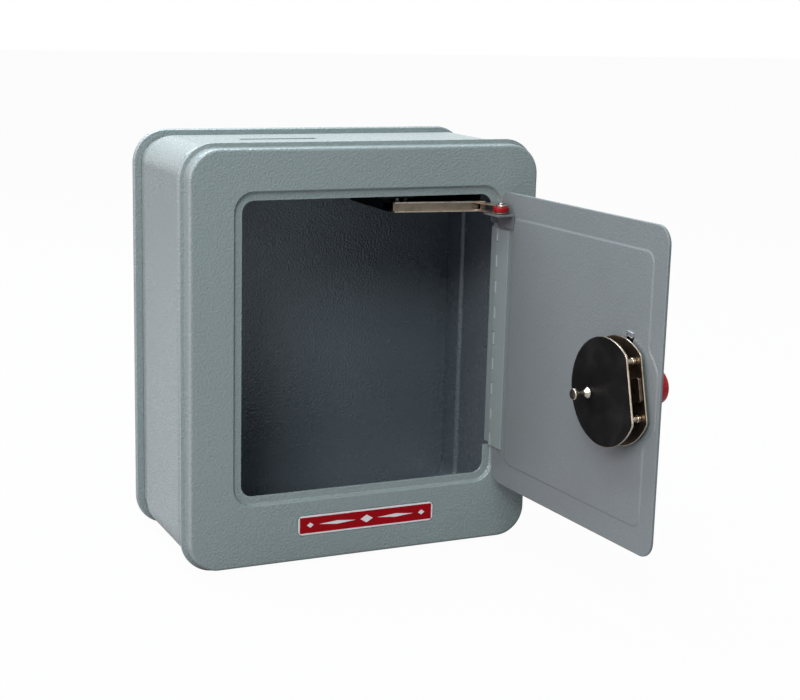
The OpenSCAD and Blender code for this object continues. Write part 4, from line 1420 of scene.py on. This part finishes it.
@dataclass
class Lock:
    """The combination lock on the inside of the door."""

    shop: Workshop
    door: Door
    tilt: float = 13.74
    plate_y: tuple[float, float, float, float] = (1.96, 2.76, 8.38, 9.18)
    plate_r: float = 20.79
    plate_ease: float = 0.22
    plate_blend: float = 0.6
    plate_points: int = 240
    flat: float = 16.52
    posts: tuple[tuple[str, float, float], ...] = (
        ("lock_post_upper", 12.5, 10.5),
        ("lock_post_lower", 12.5, -10.5),
        ("lock_post_rear", -15.6, 0.0),
    )
    post_r: tuple[float, float, float] = (1.15, 1.4, 1.22)
    set_back: float = 9.4
    set_bore: float = 0.85
    set_l: float = 7.2
    set_r: float = 2.2
    set_neck: float = 0.9
    set_waist: float = 0.8
    set_collar: float = 1.4
    eases: tuple[tuple[str, float], ...] = (
        ("lock_bolt", 0.2), ("drive_wheel", 0.1), ("lock_wheel_1", 0.1), ("lock_wheel_2", 0.1),
    )

    def axes(self) -> Axes:
        """Axes at the lock's centre: right points to the plates' flat."""
        return self.door.lock_axes().tilted(self.tilt)

    def plate(self, node: str, near: float, far: float, bore: Pair, bare: slice) -> None:
        """A plate: rings of a disc with a flat, black with bright edges and one bare side in dark
        bronze, which is painted shade.

        A ring's radius at an angle is the lesser of the disc's radius and the flat's
        distance over the cosine, blended where they meet.  The first and the last ring
        are the hole's.

        Args:
            node: The node that the plate stands for.
            near: Depth of the side towards the door.
            far: Depth of the other side.
            bore: Place along the lock's middle line and radius of the hole.
            bare: Rows of the side towards the other plate, whose dark bronze is painted shade.
        """
        angle = np.arange(self.plate_points) * 2 * math.pi / self.plate_points
        c, s = np.cos(angle), np.sin(angle)
        e = self.plate_ease
        part, wide = e * 0.3, e + 0.5
        inset, depth = np.array([
            (wide, near), (e, near), (part, near + part), (0.0, near + e),
            (0.0, far - e), (part, far - part), (e, far), (wide, far),
        ]).T
        chord = (self.flat - inset[:, None]) / np.maximum(c, 0.2)
        radius = smooth_min(chord, self.plate_r - inset[:, None], self.plate_blend)
        hole, up = bore[0] + bore[1] * c, bore[1] * s
        x, z = np.vstack([hole, radius * c, hole]), np.vstack([up, radius * s, up])
        y = np.array([near + 0.1, *depth, far - 0.1])[:, None]
        rings = np.stack([x, np.broadcast_to(y, x.shape), z], axis=-1)
        marks = np.array([0, 0, 1, 1, 1, 1, 1, 0, 0, 0])
        # The side towards the other plate takes the bolt's dark bronze: painted shade between the
        # plates
        marks[bare] = 2
        mesh = Shell(self.axes()).skin(rings, True, marks).mesh(node)
        self.shop.show(node, mesh, Finish.LOCK, Finish.BOLT)

    def post(self, node: str, x: float, z: float) -> None:
        """A post: a turned spacer with a shoulder at each end and a waist."""
        a, b = self.plate_y[1], self.plate_y[2]
        end, r, waist = self.post_r
        section = np.array([
            [end, a], [r, a + 0.2], [r, a + 1.3], [waist, a + 1.5],
            [waist, b - 1.7], [r, b - 1.5], [r, b - 0.2], [end, b],
        ])
        shell = Shell(self.axes().moved(x, 0.0, z)).skin(turned(section, 40))
        self.shop.show(node, shell.mesh(node))

    def setting_knob(self) -> None:
        """The setting knob: a spool of two discs and cones, with a collar behind its plate."""
        back, out = self.plate_y[2:]
        tip, base, inner = out + self.set_l, out + 0.05, back - 2.1
        r, neck, waist, collar = self.set_r, self.set_neck, self.set_waist, self.set_collar
        section = eased([
            (AXIS_R, inner - 0.8, 0.0), (collar, inner - 0.8, 0.15), (collar, inner, 0.15),
            (waist, inner, 0.05), (waist, base, 0.05), (r, base, 0.2), (r, base + 0.7, 0.25),
            (neck, base + 2.1, 0.5), (neck, tip - 2.6, 0.5), (r, tip - 1.25, 0.3),
            (r, tip, 0.3), (AXIS_R, tip, 0.0),
        ], 4)
        shell = Shell(self.axes().moved(-self.set_back)).skin(turned(section, 48))
        self.shop.show("setting_knob", shell.mesh("setting_knob"))

    def build(self) -> None:
        """Builds the lock's pieces."""
        y = self.plate_y
        self.plate("lock_back_plate", y[0], y[1], (0.0, self.door.bore_r), slice(7, 9))
        self.plate("lock_front_plate", y[2], y[3], (-self.set_back, self.set_bore), slice(0, 2))
        for post in self.posts:
            self.post(*post)
        self.setting_knob()
        self.shop.dress("lock_feet")
        for node, width in self.eases:
            self.shop.ease(node, width)
        self.shop.dress("lock_spindle")


@dataclass
class Dial:
    """The dial on the door's outside: a number disc with a fluted grip."""

    shop: Workshop
    door: Door
    disc_r: float = 15.0
    disc_y: Pair = (-3.3, -0.9)
    grip_r: float = 6.7
    grip_l: float = 13.5
    flutes: int = 24
    red: Colour = (0.50, 0.003, 0.010)
    flute_deep: float = 0.22
    flute_cut: float = 0.2
    flute_points: int = 10

    def disc(self) -> None:
        """The number disc: a turned section with a sloping edge for the marks."""
        (near, far), r = self.disc_y, self.disc_r
        section = eased([
            (AXIS_R, near, 0.0), (r - 1.2, near, 0.3), (r, near + 1.2, 0.3),
            (r, far, 0.3), (AXIS_R, far, 0.0),
        ])
        axes = self.door.lock_axes()
        mesh = Shell(axes).skin(turned(section, 128)).mesh("dial_disc")
        centre = (float(axes.origin[0]), float(axes.origin[1]) - FOOT)
        along = (float(axes.right[0]), float(axes.right[1]))
        marks = Graduated("dial_marks", self.red, centre, along, self.door.lock_at[1])
        self.shop.show("dial_disc", mesh, look=marks.material())

    def grip(self) -> None:
        """The grip: a turned section whose radius dips with the cosine of the angle.

        The dip is the flute's depth times the cosine of the angle times the number of
        flutes, cut off below a fifth under nought and raised by as much.  It fades
        towards both ends.
        """
        near, far, g = self.disc_y[0] - self.grip_l, self.disc_y[0], self.grip_r
        y, r, fade = np.array([
            (near, AXIS_R, 0), (near, g - 1.4, 0), (near + 0.15, g - 0.7, 0),
            (near + 0.5, g - 0.2, 0), (near + 1.0, g, 0), (near + 2.0, g, 0.15),
            (near + 5.0, g, 0.6), (far - 2.0, g, 1), (far - 1.4, g, 0.6), (far - 1.0, g, 0),
            (far, g, 0),
        ]).T[:, :, None]
        count = self.flutes * self.flute_points
        angle = np.arange(count) * 2 * math.pi / count
        dip = self.flute_deep * np.maximum(np.cos(angle * self.flutes), -self.flute_cut)
        radius = r - fade * (dip + self.flute_cut * self.flute_deep)
        x, z = radius * np.cos(angle), radius * np.sin(angle)
        rings = np.stack([x, np.broadcast_to(y, radius.shape), z], axis=-1)
        mesh = Shell(self.door.lock_axes()).skin(rings).mesh("dial_knob")
        self.shop.show("dial_knob", mesh)

    def build(self) -> None:
        """Builds the dial's pieces."""
        self.disc()
        self.grip()


@dataclass
class Alarm:
    """The alarm: an arm with a roller and its guide, a striker, and a bell in a housing."""

    shop: Workshop
    door: Door
    pivot: Pair = (9.0, 5.0)
    roller_r: float = 3.2
    roller_bore: float = 1.04
    roller_z: Pair = (144.75, 147.05)
    elbow: Pair = (50.251, 3.712)
    arm_angle: float = -7.5
    arm_x: Pair = (-36.8, 0.4)
    arm_y: Pair = (-1.6, 1.6)
    arm_z: Pair = (143.8, 148.0)
    arm_t: float = 0.5
    web_gap: float = 0.02
    eases: tuple[tuple[str, float], ...] = (
        ("arm_guide", 0.15), ("alarm_housing", 0.25), ("striker", 0.15), ("bell_post", 0.12),
        ("lug_rivet", 0.06),
    )

    def roller(self) -> None:
        """The roller: a turned section with round edges and a bore."""
        (low, high), r, bore = self.roller_z, self.roller_r, self.roller_bore
        section = eased([(bore, low, 0.1), (r, low, 0.6), (r, high, 0.6), (bore, high, 0.1)])
        right, rear, up = np.eye(3)
        upright = Axes(self.door.axes().moved(*self.pivot).origin, right, up, rear)
        mesh = Shell(upright).skin(turned(section, 72), True).mesh("alarm_roller")
        self.shop.show("alarm_roller", mesh)

    def arm(self) -> None:
        """The arm: its channel is opened to the front and closed by a web at the rear, whose
        darker metal is painted shade.
        """
        a = math.radians(self.arm_angle)
        c, s = math.cos(a), math.sin(a)
        axes = Axes(*np.array([[*self.elbow, 0.0], [c, s, 0.0], [-s, c, 0.0], [0.0, 0.0, 1.0]]))
        (x0, x1), (y0, y1), (z0, z1) = self.arm_x, self.arm_y, self.arm_z
        t, gap = self.arm_t, self.web_gap
        mesh = self.shop.frame["nodes"]["alarm_arm"].data.copy()
        merge(mesh, flatten=True)
        mesh.materials.clear()
        front = Shell(axes).block((x0 - 1.0, y0 - 1.0, z0 + t), (x1, y0 + t + CRISP, z1 - t))
        web = Shell(axes).block((x0 + gap, y1 - t, z0 + gap), (x1, y1 - gap, z1 - gap), 0.1)
        # The web takes the darker copy of the arm's metal: painted shade inside the channel
        web.marks = [1] * len(web.faces)
        whole = joined([carved(mesh, [front.mesh("front")]), web.mesh("web")])
        self.shop.show("alarm_arm", whole, Finish.ARM_INSIDE, bevel=0.1)

    def build(self) -> None:
        """Builds the alarm's pieces."""
        self.roller()
        self.arm()
        for node, width in self.eases:
            self.shop.ease(node, width)
        for node in ("bell", "striker_pin"):
            self.shop.dress(node)


def corners() -> list[list[float]]:
    """Lowest and highest corner of all that is shown."""
    return [list(corner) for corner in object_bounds()]


def main() -> None:
    """Builds the scene piece by piece."""
    logging.basicConfig(level=logging.INFO, format="%(name)s: %(message)s")
    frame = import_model()
    shop = Workshop(frame, {finish: coat.material() for finish, coat in COATS.items()})
    door = Door(shop)
    Case(shop).build()
    door.build()
    for part in (Hinge, Lock, Dial, Alarm):
        part(shop, door).build()
    Studio().build()


if __name__ == "__main__":
    main()
